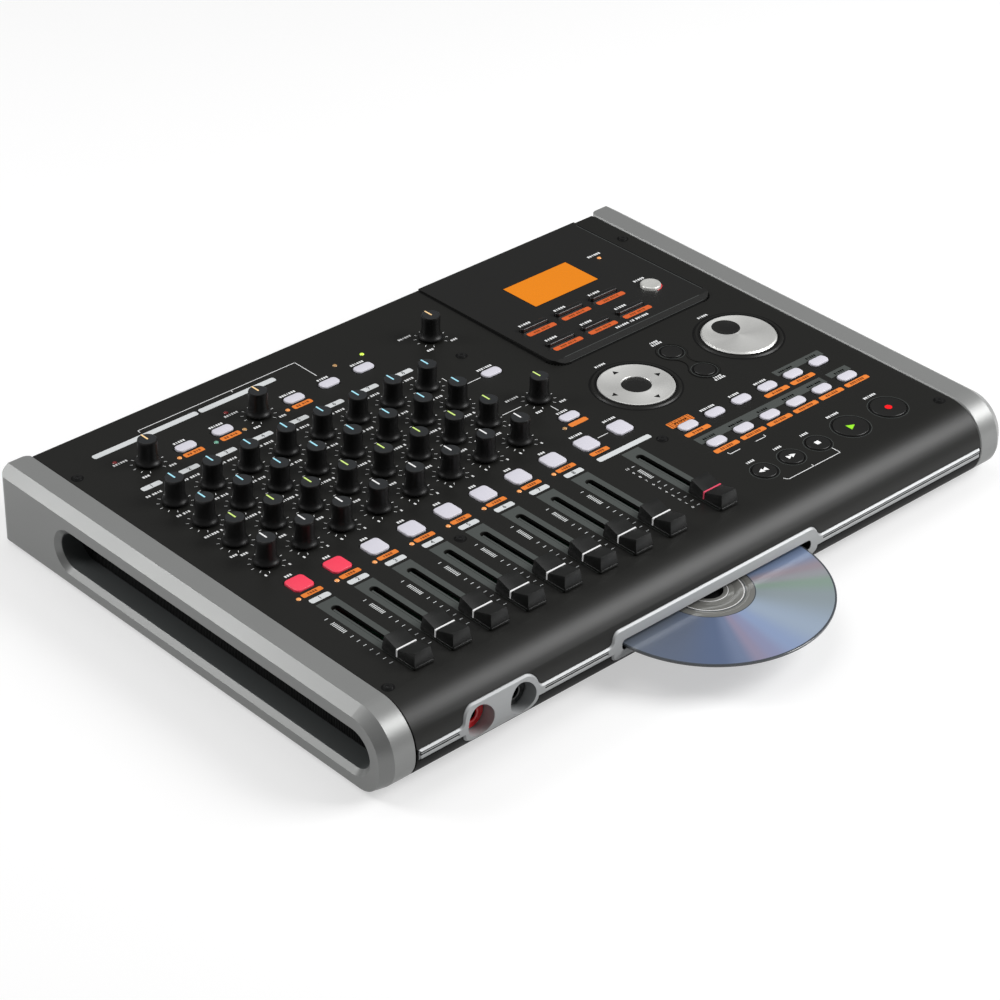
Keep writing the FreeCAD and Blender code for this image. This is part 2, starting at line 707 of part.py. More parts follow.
def key_hole(x, y, width, length, corner, low, high):
    """The hole that a key comes up through."""
    grow = 2 * KEY_GAP
    return rounded_plate(x, y, low, high, width + grow, length + grow, corner + KEY_GAP)


def top_panel():
    """The top sheet, which rolls over the front edge down to the trim."""
    outside = housing_block(0, HOUSING_HALF)
    inside = housing_block(PANEL_SHEET, HOUSING_HALF + SEAM, rear=HOUSING_DEPTH + SEAM)
    sheet = outside.cut(inside)
    keep = box(
        -HOUSING_HALF,
        HOUSING_HALF,
        -SEAM,
        HOUSING_DEPTH,
        PANEL_Z - STRIP_TOP + TRIM_SEAM,
        PANEL_Z + SEAM,
    )
    sheet = sheet.common(keep)
    collars = []
    wheels = ((CURSOR_X, CURSOR_Y, CURSOR_RADIUS), (DATA_WHEEL_X, DATA_WHEEL_Y, DATA_WHEEL_RADIUS))
    for x, y, radius in wheels:
        outer = radius + WHEEL_GAP + COLLAR_WIDTH
        slope = COLLAR_PROUD
        collar = turned(
            [
                (radius, PANEL_UNDER_Z),
                (outer, PANEL_UNDER_Z),
                (outer, PANEL_Z),
                (outer - slope, PANEL_Z + COLLAR_PROUD),
                (radius, PANEL_Z + COLLAR_PROUD),
            ],
            x,
            y,
        )
        collars.append(collar)
    sheet = sheet.fuse(collars)
    return sheet.cut(panel_holes() + [trim_prism(TRIM_SEAM)])


def bottom_tray():
    """The tray: floor, curved front lip, side walls, rear wall and bosses."""
    half = HOUSING_HALF
    outside = housing_block(0, half)
    cavity = housing_block(TRAY_WALL, half - TRAY_WALL, top=PANEL_Z + TOP_RADIUS)
    tray = outside.cut(cavity)
    lid = box(-half, half, -SEAM, HOUSING_DEPTH, PANEL_UNDER_Z, PANEL_Z + SEAM)
    front = box(-half, half, -SEAM, TOP_RADIUS, PANEL_Z - STRIP_TOP + TRIM_SEAM - SEAM, PANEL_Z)
    between = half - STRIP_SHORT + TRIM_SEAM
    strip_low = PANEL_Z - STRIP_TOP - STRIP_HEIGHT - TRIM_SEAM
    mouth = box(-between, between, -SEAM, TOP_RADIUS, strip_low, PANEL_Z)
    tray = tray.cut([lid, front, mouth, trim_prism(TRIM_SEAM)])
    bosses = []
    pilots = []
    for x, y in corner_screw_places():
        bosses.append(post(x, y, FLOOR_Z, PANEL_UNDER_Z, BOSS_RADIUS))
        low = PANEL_UNDER_Z - SCREW_SHANK_LENGTH
        pilots.append(post(x, y, low, PANEL_Z, SCREW_SHANK_RADIUS + SCREW_CLEAR))
    for x, y in POSTS:
        bosses.append(post(x, y, FLOOR_Z, BOARD_UNDER_Z, POST_RADIUS))
        high = BASE_Z + SCREW_SHANK_LENGTH
        pilots.append(post(x, y, BASE_Z - CUT_PAST, high + CUT_PAST, SCREW_SHANK_RADIUS + SCREW_CLEAR))
    for x in (DISC_X - DRIVE_WIDTH / 2 + POST_RADIUS, DISC_X + DRIVE_WIDTH / 2 - POST_RADIUS):
        for y in (DRIVE_FRONT_Y + TOP_RADIUS, DRIVE_REAR_Y - POST_RADIUS):
            bosses.append(post(x, y, FLOOR_Z, DISC_Z - DRIVE_HEIGHT / 2, POST_RADIUS))
    jack_floor = PANEL_Z - JACK_DROP - JACK_BODY / 2
    for x in jack_xs():
        front_y = JACK_SETBACK + JACK_BUSH_LENGTH + JACK_BODY / 2
        for y in (front_y, front_y + JACK_BODY_LENGTH - JACK_BODY):
            bosses.append(post(x, y, FLOOR_Z, jack_floor, POST_RADIUS))
    clip = housing_block(TRAY_WALL / 2, half - TRAY_WALL / 2)
    bosses = [boss.common(clip) for boss in bosses]
    inner = HOUSING_DEPTH - 2 * TRAY_WALL
    outer = HOUSING_DEPTH + CUT_PAST
    holes = [barrel(x, SOCKET_HEIGHT, inner, outer, radius) for x, radius in rear_wall_holes()]
    return tray.fuse(bosses).cut(pilots + holes)


def feet():
    """Four rubber feet under the tray."""
    solids = []
    for x in (-FOOT_X, FOOT_X):
        for y in (FOOT_FRONT_Y, FOOT_REAR_Y):
            section = [
                (0, 0),
                (FOOT_RADIUS - FOOT_HEIGHT / 2, 0),
                (FOOT_RADIUS, FOOT_HEIGHT),
                (0, FOOT_HEIGHT),
            ]
            solids.append(turned(section, x, y))
    return compound(solids)


# Circuit board and the parts that it carries


def main_board():
    """The circuit board with its key switches and the panel's standoffs."""
    board = box(-BOARD_HALF, BOARD_HALF, BOARD_FRONT_Y, BOARD_REAR_Y, BOARD_UNDER_Z, BOARD_TOP_Z)
    parts = [board]
    half = SWITCH_SIZE / 2
    for x, y in switch_places():
        parts.append(box(x - half, x + half, y - half, y + half, BOARD_TOP_Z, BOARD_TOP_Z + SWITCH_HEIGHT))
    for x, y in MIDDLE_SCREWS:
        outer = post(x, y, BOARD_TOP_Z, PANEL_UNDER_Z, STANDOFF_RADIUS)
        low = PANEL_UNDER_Z - SCREW_SHANK_LENGTH
        pilot = post(x, y, low, PANEL_Z, SCREW_SHANK_RADIUS + SCREW_CLEAR)
        parts.append(outer.cut(pilot))
    return compound(parts)


def rotary_pots():
    """The potentiometers under the knobs and the encoder under the data wheel."""
    solids = []
    half = POT_SIZE / 2
    for x, y in knob_places() + [(DATA_WHEEL_X, DATA_WHEEL_Y)]:
        solids.append(box(x - half, x + half, y - half, y + half, BOARD_TOP_Z, BOARD_TOP_Z + POT_HEIGHT))
    return compound(solids)


def fader_bodies():
    """The slide potentiometers, each a channel that its lever runs in."""
    solids = []
    front = FADER_REST_Y - FADER_BODY_MARGIN
    rear = FADER_REST_Y + FADER_TRAVEL + FADER_BODY_MARGIN
    half = FADER_BODY_WIDTH / 2
    top = BOARD_TOP_Z + FADER_BODY_HEIGHT
    channel_half = CAP_STEM_WIDTH / 2 + KEY_GAP
    reach = CAP_STEM_LENGTH / 2 + KEY_GAP
    for x in fader_xs():
        body = box(x - half, x + half, front, rear, BOARD_TOP_Z, top)
        channel = box(
            x - channel_half,
            x + channel_half,
            FADER_REST_Y - reach,
            FADER_REST_Y + FADER_TRAVEL + reach,
            top - FADER_CHANNEL_DEPTH,
            top + CUT_PAST,
        )
        solids.append(body.cut(channel))
    return compound(solids)


def slot_drive():
    """The slot-loading disc drive, with the flat space that the disc enters."""
    half = DRIVE_WIDTH / 2
    low = DISC_Z - DRIVE_HEIGHT / 2
    casing = box(DISC_X - half, DISC_X + half, DRIVE_FRONT_Y, DRIVE_REAR_Y, low, low + DRIVE_HEIGHT)
    edges = []
    for edge in casing.Edges:
        at_rear = abs(edge.CenterOfMass.y - DRIVE_REAR_Y) < 0.01
        if at_rear and abs(edge.Length - DRIVE_HEIGHT) < 0.01:
            edges.append(edge)
    casing = casing.makeChamfer(DRIVE_HEIGHT / 2, edges)
    radius = DISC_RADIUS + DISC_SIDE_GAP
    inner_y = DISC_CENTRE_Y + DISC_TRAVEL
    half_gap = DRIVE_CAVITY / 2
    low = DISC_Z - half_gap
    high = DISC_Z + half_gap
    run = box(DISC_X - radius, DISC_X + radius, DRIVE_FRONT_Y - CUT_PAST, inner_y, low, high)
    bay = post(DISC_X, inner_y, low, high, radius)
    return casing.cut([run, bay])


def disc():
    """The disc, half out of the drive."""
    low = DISC_Z - DISC_THICK / 2
    plate = post(DISC_X, DISC_CENTRE_Y, low, low + DISC_THICK, DISC_RADIUS)
    hole = post(DISC_X, DISC_CENTRE_Y, low - CUT_PAST, low + DISC_THICK + CUT_PAST, DISC_HOLE_RADIUS)
    return plate.cut(hole)


def rear_wall_holes():
    """X and radius of each hole in the rear wall."""
    holes = [(x, MIC_BORE_RADIUS + MIC_WALL + SEAM) for x in MIC_SOCKET_XS]
    holes += [(x, LINE_BODY_RADIUS + SEAM) for x in LINE_SOCKET_XS]
    holes.append((POWER_INLET_X, INLET_BODY_RADIUS + SEAM))
    return holes


def rear_socket(x, flange_radius, body_radius, bore_radius, depth):
    """One round socket through the rear wall, open to the rear."""
    face = HOUSING_DEPTH + SOCKET_FLANGE
    inner = face - depth - SOCKET_END_WALL
    flange = barrel(x, SOCKET_HEIGHT, HOUSING_DEPTH, face, flange_radius)
    body = barrel(x, SOCKET_HEIGHT, inner, HOUSING_DEPTH, body_radius)
    bore = barrel(x, SOCKET_HEIGHT, face - depth, face + CUT_PAST, bore_radius)
    return flange.fuse(body).cut(bore)


def rear_sockets():
    """Microphone sockets, line jacks and the power inlet in the rear wall."""
    solids = []
    for x in MIC_SOCKET_XS:
        body_radius = MIC_BORE_RADIUS + MIC_WALL
        solids.append(rear_socket(x, MIC_FLANGE_RADIUS, body_radius, MIC_BORE_RADIUS, MIC_DEPTH))
    for x in LINE_SOCKET_XS:
        solids.append(rear_socket(x, LINE_FLANGE_RADIUS, LINE_BODY_RADIUS, JACK_BORE_RADIUS, LINE_DEPTH))
    solids.append(
        rear_socket(POWER_INLET_X, INLET_FLANGE_RADIUS, INLET_BODY_RADIUS, INLET_BORE_RADIUS, INLET_DEPTH)
    )
    return compound(solids)


# Screws


def corner_screw_places():
    """The four panel screws near the corners."""
    return [(x, y) for x in CORNER_SCREW_XS
            for y in (CORNER_SCREW_FRONT_Y, CORNER_SCREW_REAR_Y)]


def top_screw_places():
    """All the screws of the top panel."""
    return corner_screw_places() + list(MIDDLE_SCREWS)


def case_screws():
    """The panel's screws and those that come up through the tray."""
    solids = []
    head = SCREW_HEAD_HEIGHT
    for x, y in top_screw_places():
        tip = PANEL_Z - SCREW_SHANK_LENGTH
        section = [
            (0, tip),
            (SCREW_SHANK_RADIUS, tip),
            (SCREW_SHANK_RADIUS, PANEL_Z),
            (SCREW_HEAD_RADIUS, PANEL_Z),
            (SCREW_HEAD_RADIUS - head / 2, PANEL_Z + head),
            (0, PANEL_Z + head),
        ]
        solids.append(turned(section, x, y))
    for x, y in POSTS:
        tip = BASE_Z + SCREW_SHANK_LENGTH
        section = [
            (0, BASE_Z - head),
            (SCREW_HEAD_RADIUS - head / 2, BASE_Z - head),
            (SCREW_HEAD_RADIUS, BASE_Z),
            (SCREW_SHANK_RADIUS, BASE_Z),
            (SCREW_SHANK_RADIUS, tip),
            (0, tip),
        ]
        solids.append(turned(section, x, y))
    return compound(solids)


# Knobs and faders


def channel_knob_places(channel):
    """X and Y of a channel's four knobs, from the rear row to the front one."""
    return [(column_x(channel), y) for y in KNOB_ROWS_Y]


def knob_places():
    """X and Y of every knob."""
    places = []
    for channel in range(CHANNELS):
        places += channel_knob_places(channel)
    places += [(column_x(column), LEVEL_ROW_Y) for column in LEVEL_COLUMNS]
    places.append((column_x(MASTER_COLUMN), KNOB_ROWS_Y[2]))
    return places


def knob(x, y):
    """A skirted knob with its waisted grip and its shaft."""
    base = PANEL_Z + KNOB_CLEAR
    top = PANEL_Z + KNOB_HEIGHT
    shaft_low = BOARD_TOP_Z + POT_HEIGHT + SHAFT_LIFT
    skirt_top = base + KNOB_SKIRT
    waist_z = (skirt_top + top) / 2
    section = [
        (0, shaft_low),
        (SHAFT_RADIUS, shaft_low),
        (SHAFT_RADIUS, base),
        (KNOB_BASE_RADIUS, base),
        (KNOB_BASE_RADIUS, skirt_top),
        (KNOB_WAIST_RADIUS, waist_z),
        (KNOB_TOP_RADIUS, top),
        (0, top),
    ]
    return turned(section, x, y)


def fader_xs():
    """X of the eight channel faders and the master fader."""
    return [column_x(channel) for channel in range(CHANNELS)] + [column_x(MASTER_COLUMN)]


def cap_end(x, y, width, top_width):
    """The trapezoid that a fader cap fills at one of its ends."""
    low = PANEL_Z + CAP_CLEAR
    foot = low + CAP_FOOT
    top = PANEL_Z + CAP_HEIGHT
    corners = [
        V(x - width / 2, y, low),
        V(x + width / 2, y, low),
        V(x + width / 2, y, foot),
        V(x + top_width / 2, y, top),
        V(x - top_width / 2, y, top),
        V(x - width / 2, y, foot),
    ]
    return Part.makePolygon(corners + [corners[0]])


def fader_cap(x):
    """A fader cap: two humps with a valley between them, on its lever."""
    y = FADER_REST_Y
    low = PANEL_Z + CAP_CLEAR
    foot = low + CAP_FOOT
    top = PANEL_Z + CAP_HEIGHT
    valley = PANEL_Z + CAP_VALLEY
    start = x - CAP_REAR_WIDTH
    rear_crest = V(start, y + CAP_REAR_TOP, top)
    front_crest = V(start, y - CAP_FRONT_TOP, top)
    hollow = V(start, y, valley)
    front_foot = V(start, y - CAP_FRONT, foot)
    front_low = V(start, y - CAP_FRONT, low)
    rear_low = V(start, y + CAP_REAR, low)
    rear_foot = V(start, y + CAP_REAR, foot)
    edges = [
        Part.makeLine(rear_low, rear_foot),
        Part.makeLine(rear_foot, rear_crest),
        Part.makeLine(rear_crest, hollow),
        Part.makeLine(hollow, front_crest),
        Part.makeLine(front_crest, front_foot),
        Part.makeLine(front_foot, front_low),
        Part.makeLine(front_low, rear_low),
    ]
    profile = Part.Face(Part.Wire(edges)).extrude(V(2 * CAP_REAR_WIDTH, 0, 0))
    rear_end = cap_end(x, y + CAP_REAR, CAP_REAR_WIDTH, CAP_REAR_TOP_WIDTH)
    front_end = cap_end(x, y - CAP_FRONT, CAP_FRONT_WIDTH, CAP_FRONT_TOP_WIDTH)
    cap = profile.common(Part.makeLoft([rear_end, front_end], True, True))
    stem_low = BOARD_TOP_Z + FADER_BODY_HEIGHT - FADER_CHANNEL_DEPTH + KEY_GAP
    stem = box(
        x - CAP_STEM_WIDTH / 2,
        x + CAP_STEM_WIDTH / 2,
        y - CAP_STEM_LENGTH / 2,
        y + CAP_STEM_LENGTH / 2,
        stem_low,
        low,
    )
    return cap.fuse(stem).removeSplitter()


# Keys


def channel_key_places():
    """X and Y of the ten square keys above the faders."""
    return [(column_x(index), CHANNEL_KEY_Y) for index in range(CHANNEL_KEY_COUNT)]


def input_key_places():
    """X and Y of the seven pill keys of the inputs and the master column."""
    places = [(column_x(column), LEVEL_ROW_Y) for column in INPUT_KEY_COLUMNS]
    places += [(column_x(MASTER_COLUMN), y) for y in MASTER_PILL_YS]
    return places


def function_key_places():
    """X and Y of the twelve pill keys on the right."""
    return [(RIGHT_KEY_FIRST_X + RIGHT_KEY_PITCH * index, y)
            for y in RIGHT_KEY_ROWS_Y for index in range(RIGHT_KEY_COLUMNS)]


def display_key_places():
    """X and Y of the six slim keys on the display pod."""
    return [(x, y) for y in DISPLAY_KEY_ROWS_Y for x in DISPLAY_KEY_XS]


def round_keys():
    """Name, X, Y and radius of the round black keys."""
    return [
        ("rewind_key", REWIND_X, TRANSPORT_Y, SMALL_TRANSPORT_RADIUS),
        ("forward_key", FORWARD_X, TRANSPORT_Y, SMALL_TRANSPORT_RADIUS),
        ("stop_key", STOP_X, TRANSPORT_Y, SMALL_TRANSPORT_RADIUS),
        ("play_key", PLAY_X, TRANSPORT_Y, LARGE_TRANSPORT_RADIUS),
        ("record_key", RECORD_X, TRANSPORT_Y, LARGE_TRANSPORT_RADIUS),
        ("yes_key", ANSWER_X, YES_Y, ANSWER_RADIUS),
        ("no_key", ANSWER_X, NO_Y, ANSWER_RADIUS),
    ]


def switch_places():
    """X and Y of each key switch on the board."""
    places = channel_key_places() + input_key_places() + function_key_places()
    places += display_key_places()
    places += [(x, y) for name, x, y, radius in round_keys()]
    places += [(CURSOR_X, CURSOR_Y), (POWER_X, POWER_Y)]
    return places


def stem_low_z():
    """Where a key's stem ends, clear of its switch by the key's travel."""
    return BOARD_TOP_Z + SWITCH_HEIGHT + KEY_TRAVEL + SHAFT_LIFT / 2


def key(x, y, width, length, corner, proud):
    """A moulded key: its cap, the flange under the panel and its stem."""
    top = PANEL_Z + proud
    flange_top = PANEL_UNDER_Z - SEAM
    flange_low = flange_top - KEY_FLANGE_THICK
    cap = rounded_plate(x, y, flange_top, top, width, length, corner)
    rim = [edge for edge in cap.Edges if abs(edge.CenterOfMass.z - top) < 0.001]
    cap = cap.makeChamfer(KEY_EDGE, rim)
    flange_grow = 2 * (KEY_GAP + KEY_FLANGE)
    flange = box(
        x - (width + flange_grow) / 2,
        x + (width + flange_grow) / 2,
        y - (length + flange_grow) / 2,
        y + (length + flange_grow) / 2,
        flange_low,
        flange_top,
    )
    stem = post(x, y, stem_low_z(), flange_low, KEY_STEM_RADIUS)
    return cap.fuse([flange, stem])


def round_key(x, y, radius, proud):
    """A round key with its flange and stem."""
    top = PANEL_Z + proud
    flange_top = PANEL_UNDER_Z - SEAM
    flange_low = flange_top - KEY_FLANGE_THICK
    flange_radius = radius + KEY_GAP + KEY_FLANGE
    low = stem_low_z()
    section = [
        (0, low),
        (KEY_STEM_RADIUS, low),
        (KEY_STEM_RADIUS, flange_low),
        (flange_radius, flange_low),
        (flange_radius, flange_top),
        (radius, flange_top),
        (radius, top - KEY_EDGE),
        (radius - KEY_EDGE, top),
        (0, top - KEY_EDGE / 2),
    ]
    return turned(section, x, y)


def cursor_key():
    """The four-way cursor key: a dished ring round a flat centre."""
    top = PANEL_Z + CURSOR_PROUD
    low = PANEL_UNDER_Z - WHEEL_SKIRT
    stem = stem_low_z()
    radius = CURSOR_RADIUS
    section = [
        (0, stem),
        (KEY_STEM_RADIUS, stem),
        (KEY_STEM_RADIUS, low),
        (radius, low),
        (radius, top - KEY_EDGE),
        (radius - KEY_EDGE, top),
        (CURSOR_CENTRE_RADIUS + KEY_EDGE, top),
        (CURSOR_CENTRE_RADIUS, top - CURSOR_DISH),
        (0, top - CURSOR_DISH),
    ]
    return turned(section, CURSOR_X, CURSOR_Y)


def data_wheel():
    """The data wheel: a turned disc with a rolled lip and a finger dimple."""
    top = PANEL_Z + DATA_WHEEL_PROUD
    low = PANEL_UNDER_Z - WHEEL_SKIRT
    radius = DATA_WHEEL_RADIUS
    lip = DATA_WHEEL_LIP
    shaft_low = BOARD_TOP_Z + POT_HEIGHT + SHAFT_LIFT
    section = [
        (0, shaft_low),
        (SHAFT_RADIUS, shaft_low),
        (SHAFT_RADIUS, low),
        (radius, low),
        (radius, top - lip),
        (radius - lip, top),
        (radius - 2 * lip, top),
        (radius - 3 * lip, top - lip / 2),
        (0, top - lip / 2),
    ]
    wheel = turned(section, DATA_WHEEL_X, DATA_WHEEL_Y)
    face_z = top - lip / 2
    sphere_radius = (DIMPLE_RADIUS ** 2 + DIMPLE_DEPTH ** 2) / (2 * DIMPLE_DEPTH)
    centre = V(DATA_WHEEL_X, DATA_WHEEL_Y + DIMPLE_OFFSET, face_z - DIMPLE_DEPTH + sphere_radius)
    return wheel.cut(Part.makeSphere(sphere_radius, centre))


# Display pod


def pod_block(grow, low, high):
    """The pod's outline pushed from low to high, with round front corners."""
    width = POD_RIGHT_X - POD_LEFT_X + 2 * grow
    length = HOUSING_DEPTH - POD_FRONT_Y + POD_CORNER + 2 * grow
    middle_x = (POD_LEFT_X + POD_RIGHT_X) / 2
    middle_y = POD_FRONT_Y - grow + length / 2
    block = rounded_plate(middle_x, middle_y, low, high, width, length, POD_CORNER + grow)
    return block.common(box(POD_LEFT_X - POD_CORNER, POD_RIGHT_X + POD_CORNER, 0, HOUSING_DEPTH, low, high))


def pod_section():
    """The pod's side section, as wide as the pod and more."""
    under = PANEL_UNDER_Z - SEAM
    front = POD_FRONT_Y - POD_CORNER
    start = POD_LEFT_X - CUT_PAST
    bevel_foot_z = PANEL_Z + POD_HEIGHT - POD_BEVEL_DROP
    points = [
        V(start, front, under),
        V(start, HOUSING_DEPTH, under),
        V(start, HOUSING_DEPTH, PANEL_Z + POD_REAR_HEIGHT),
        V(start, POD_FRONT_Y + POD_BEVEL, PANEL_Z + POD_HEIGHT),
        V(start, POD_FRONT_Y, bevel_foot_z),
        V(start, front, bevel_foot_z),
    ]
    width = POD_WIDTH + 2 * CUT_PAST
    return Part.Face(Part.makePolygon(points + [points[0]])).extrude(V(width, 0, 0))


def display_pod():
    """The display pod: a sloping plate with a bevelled front edge."""
    low = PANEL_UNDER_Z - CUT_PAST
    high = PANEL_Z + POD_HEIGHT + CUT_PAST
    body = pod_block(0, PANEL_UNDER_Z, high).common(pod_section())
    holes = [lcd_block(SEAM, low, high)]
    for x, y in display_key_places():
        holes.append(key_hole(x, y, DISPLAY_KEY_WIDTH, DISPLAY_KEY_LENGTH, DISPLAY_KEY_CORNER, low, high))
    holes.append(post(POWER_X, POWER_Y, low, high, POWER_RADIUS + KEY_GAP))
    return body.cut(holes)


def lcd_block(grow, low, high):
    """The display window's outline pushed from low to high."""
    return box(LCD_LEFT_X - grow, LCD_RIGHT_X + grow, LCD_FRONT_Y - grow, LCD_REAR_Y + grow, low, high)


def lcd_window():
    """The display module: its window in the pod and its frame on the board."""
    top = PANEL_Z + POD_REAR_HEIGHT - LCD_SINK
    shoulder = PANEL_UNDER_Z - SEAM
    window = lcd_block(0, shoulder, top)
    frame = lcd_block(LCD_BACK_MARGIN, BOARD_TOP_Z, shoulder)
    return window.fuse(frame).removeSplitter()


def pieces():
    """Every node of the recorder and its shape."""
    nodes = {
        "left_cheek": cheek(-1),
        "right_cheek": cheek(1),
        "top_panel": top_panel(),
        "bottom_tray": bottom_tray(),
        "feet": feet(),
        "front_trim": front_trim(),
        "front_jacks": front_jacks(),
        "rear_sockets": rear_sockets(),
        "main_board": main_board(),
        "rotary_pots": rotary_pots(),
        "fader_bodies": fader_bodies(),
        "slot_drive": slot_drive(),
        "case_screws": case_screws(),
        "display_pod": display_pod(),
        "lcd_window": lcd_window(),
        "disc": disc(),
        "cursor_key": cursor_key(),
        "data_wheel": data_wheel(),
    }
    knob_names = ("treble", "bass", "effect", "pan")
    single_channels = CHANNELS // 2
    for channel in range(single_channels):
        for name, (x, y) in zip(knob_names, channel_knob_places(channel)):
            nodes["channel_%d_%s_knob" % (channel + 1, name)] = knob(x, y)
    joined = []
    for channel in range(single_channels, CHANNELS):
        joined += [knob(x, y) for x, y in channel_knob_places(channel)]
    nodes["channel_5_to_8_knobs"] = compound(joined)
    for name, column in zip(("level_a_knob", "level_b_knob", "phones_knob"), LEVEL_COLUMNS):
        nodes[name] = knob(column_x(column), LEVEL_ROW_Y)
    nodes["effect_return_knob"] = knob(column_x(MASTER_COLUMN), KNOB_ROWS_Y[2])
    for channel in range(CHANNELS):
        nodes["channel_%d_fader" % (channel + 1)] = fader_cap(column_x(channel))
    nodes["master_fader"] = fader_cap(column_x(MASTER_COLUMN))
    for name, x, y, radius in round_keys():
        nodes[name] = round_key(x, y, radius, KEY_PROUD)
    nodes["channel_keys"] = compound(
        key(x, y, CHANNEL_KEY_WIDTH, CHANNEL_KEY_LENGTH, CHANNEL_KEY_CORNER, KEY_PROUD)
        for x, y in channel_key_places()
    )
    nodes["input_keys"] = compound(
        key(x, y, PILL_WIDTH, PILL_LENGTH, PILL_LENGTH / 2, KEY_PROUD) for x, y in input_key_places()
    )
    nodes["function_keys"] = compound(
        key(x, y, PILL_WIDTH, PILL_LENGTH, PILL_LENGTH / 2, KEY_PROUD) for x, y in function_key_places()
    )
    nodes["display_keys"] = compound(
        key(
            x,
            y,
            DISPLAY_KEY_WIDTH,
            DISPLAY_KEY_LENGTH,
            DISPLAY_KEY_CORNER,
            POD_HEIGHT + KEY_PROUD,
        )
        for x, y in display_key_places()
    )
    nodes["power_key"] = round_key(POWER_X, POWER_Y, POWER_RADIUS, POD_HEIGHT + POWER_PROUD)
    return nodes


os.makedirs("parts", exist_ok=True)
for node, shape in pieces().items():
    shape.translate(V(0, -MIDDLE_Y, 0))
    shape.exportStep(os.path.join("parts", node + ".step"))
    print(node, "solids", len(shape.Solids), "valid", shape.isValid())
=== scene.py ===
"""Looks of a desktop multitrack recorder, built around its packed construction.

Lengths in the size fields are millimetres. Places on the recorder are counted
from the middle of the front edge and from the top of the panel, as a maker's
drawing would give them, and Deck turns them into metres in the shared frame.
"""

import logging
import math
from dataclasses import dataclass, field
from enum import Enum, IntEnum
from functools import lru_cache
from typing import Iterable, Sequence

import bmesh
import bpy
from mathutils import Matrix, Vector


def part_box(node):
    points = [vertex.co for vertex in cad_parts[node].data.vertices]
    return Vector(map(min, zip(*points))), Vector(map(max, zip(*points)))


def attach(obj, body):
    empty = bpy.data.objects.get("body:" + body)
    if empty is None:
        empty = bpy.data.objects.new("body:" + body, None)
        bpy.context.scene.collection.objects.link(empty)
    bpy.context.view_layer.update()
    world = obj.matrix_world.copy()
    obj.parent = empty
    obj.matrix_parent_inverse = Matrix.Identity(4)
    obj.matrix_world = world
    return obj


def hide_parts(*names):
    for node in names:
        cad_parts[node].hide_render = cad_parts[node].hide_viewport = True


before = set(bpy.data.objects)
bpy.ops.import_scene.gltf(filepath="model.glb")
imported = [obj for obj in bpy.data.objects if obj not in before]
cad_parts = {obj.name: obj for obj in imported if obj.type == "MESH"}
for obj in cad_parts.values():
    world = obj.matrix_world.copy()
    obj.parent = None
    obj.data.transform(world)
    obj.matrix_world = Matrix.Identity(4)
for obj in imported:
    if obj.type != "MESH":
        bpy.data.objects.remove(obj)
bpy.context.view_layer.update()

Pair = tuple[float, float]
Points = tuple[Pair, ...]
Words = tuple[int, ...]
Shape = bmesh.types.BMesh
Socket = bpy.types.NodeSocket

LOG = logging.getLogger("recorder")
MM = 0.001
SHARP_ANGLE = math.radians(32)
MERGE_DISTANCE = 1e-6
INK_THICK = 0.05
INK_SINK = 0.02
ROUND_END = 0.499
EDGE_STEPS = 3
HOLE_STEPS = 6
IN_PLACE = (Matrix.Identity(4),)


class Steps(IntEnum):
    """Segments round the axis of a turned shape."""

    TINY = 16
    LAMP = 20
    SMALL = 24
    KNOB = 40
    KEY = 48
    LINE = 56
    HUB = 64
    WHEEL = 96
    DISC = 128


class Slot(str, Enum):
    """The names of material slots, one of which is passed for each new piece."""

    PANEL = "panel_black"
    TRAY = "tray_black"
    JACK = "jack_black"
    STEEL = "steel"
    POD = "pod_black"
    DISC = "disc_silver"
    WHEEL = "wheel_silver"
    KNOB = "knob_black"
    CAP = "cap_black"
    KEY_BLACK = "key_black"
    KEY_WHITE = "key_white"


def linear(paint: str) -> tuple[float, float, float, float]:
    """A paint-chart colour such as #2f2f2c as linear light.

    Args:
        paint: Six hexadecimal digits after a hash.

    Returns:
        Red, green, blue and an alpha of 1.
    """
    shares = []
    for start in (1, 3, 5):
        value = int(paint[start:start + 2], 16) / 255
        shares.append(value / 12.92 if value <= 0.04045 else ((value + 0.055) / 1.055) ** 2.4)
    return (shares[0], shares[1], shares[2], 1.0)


# Shader node groups and finishes


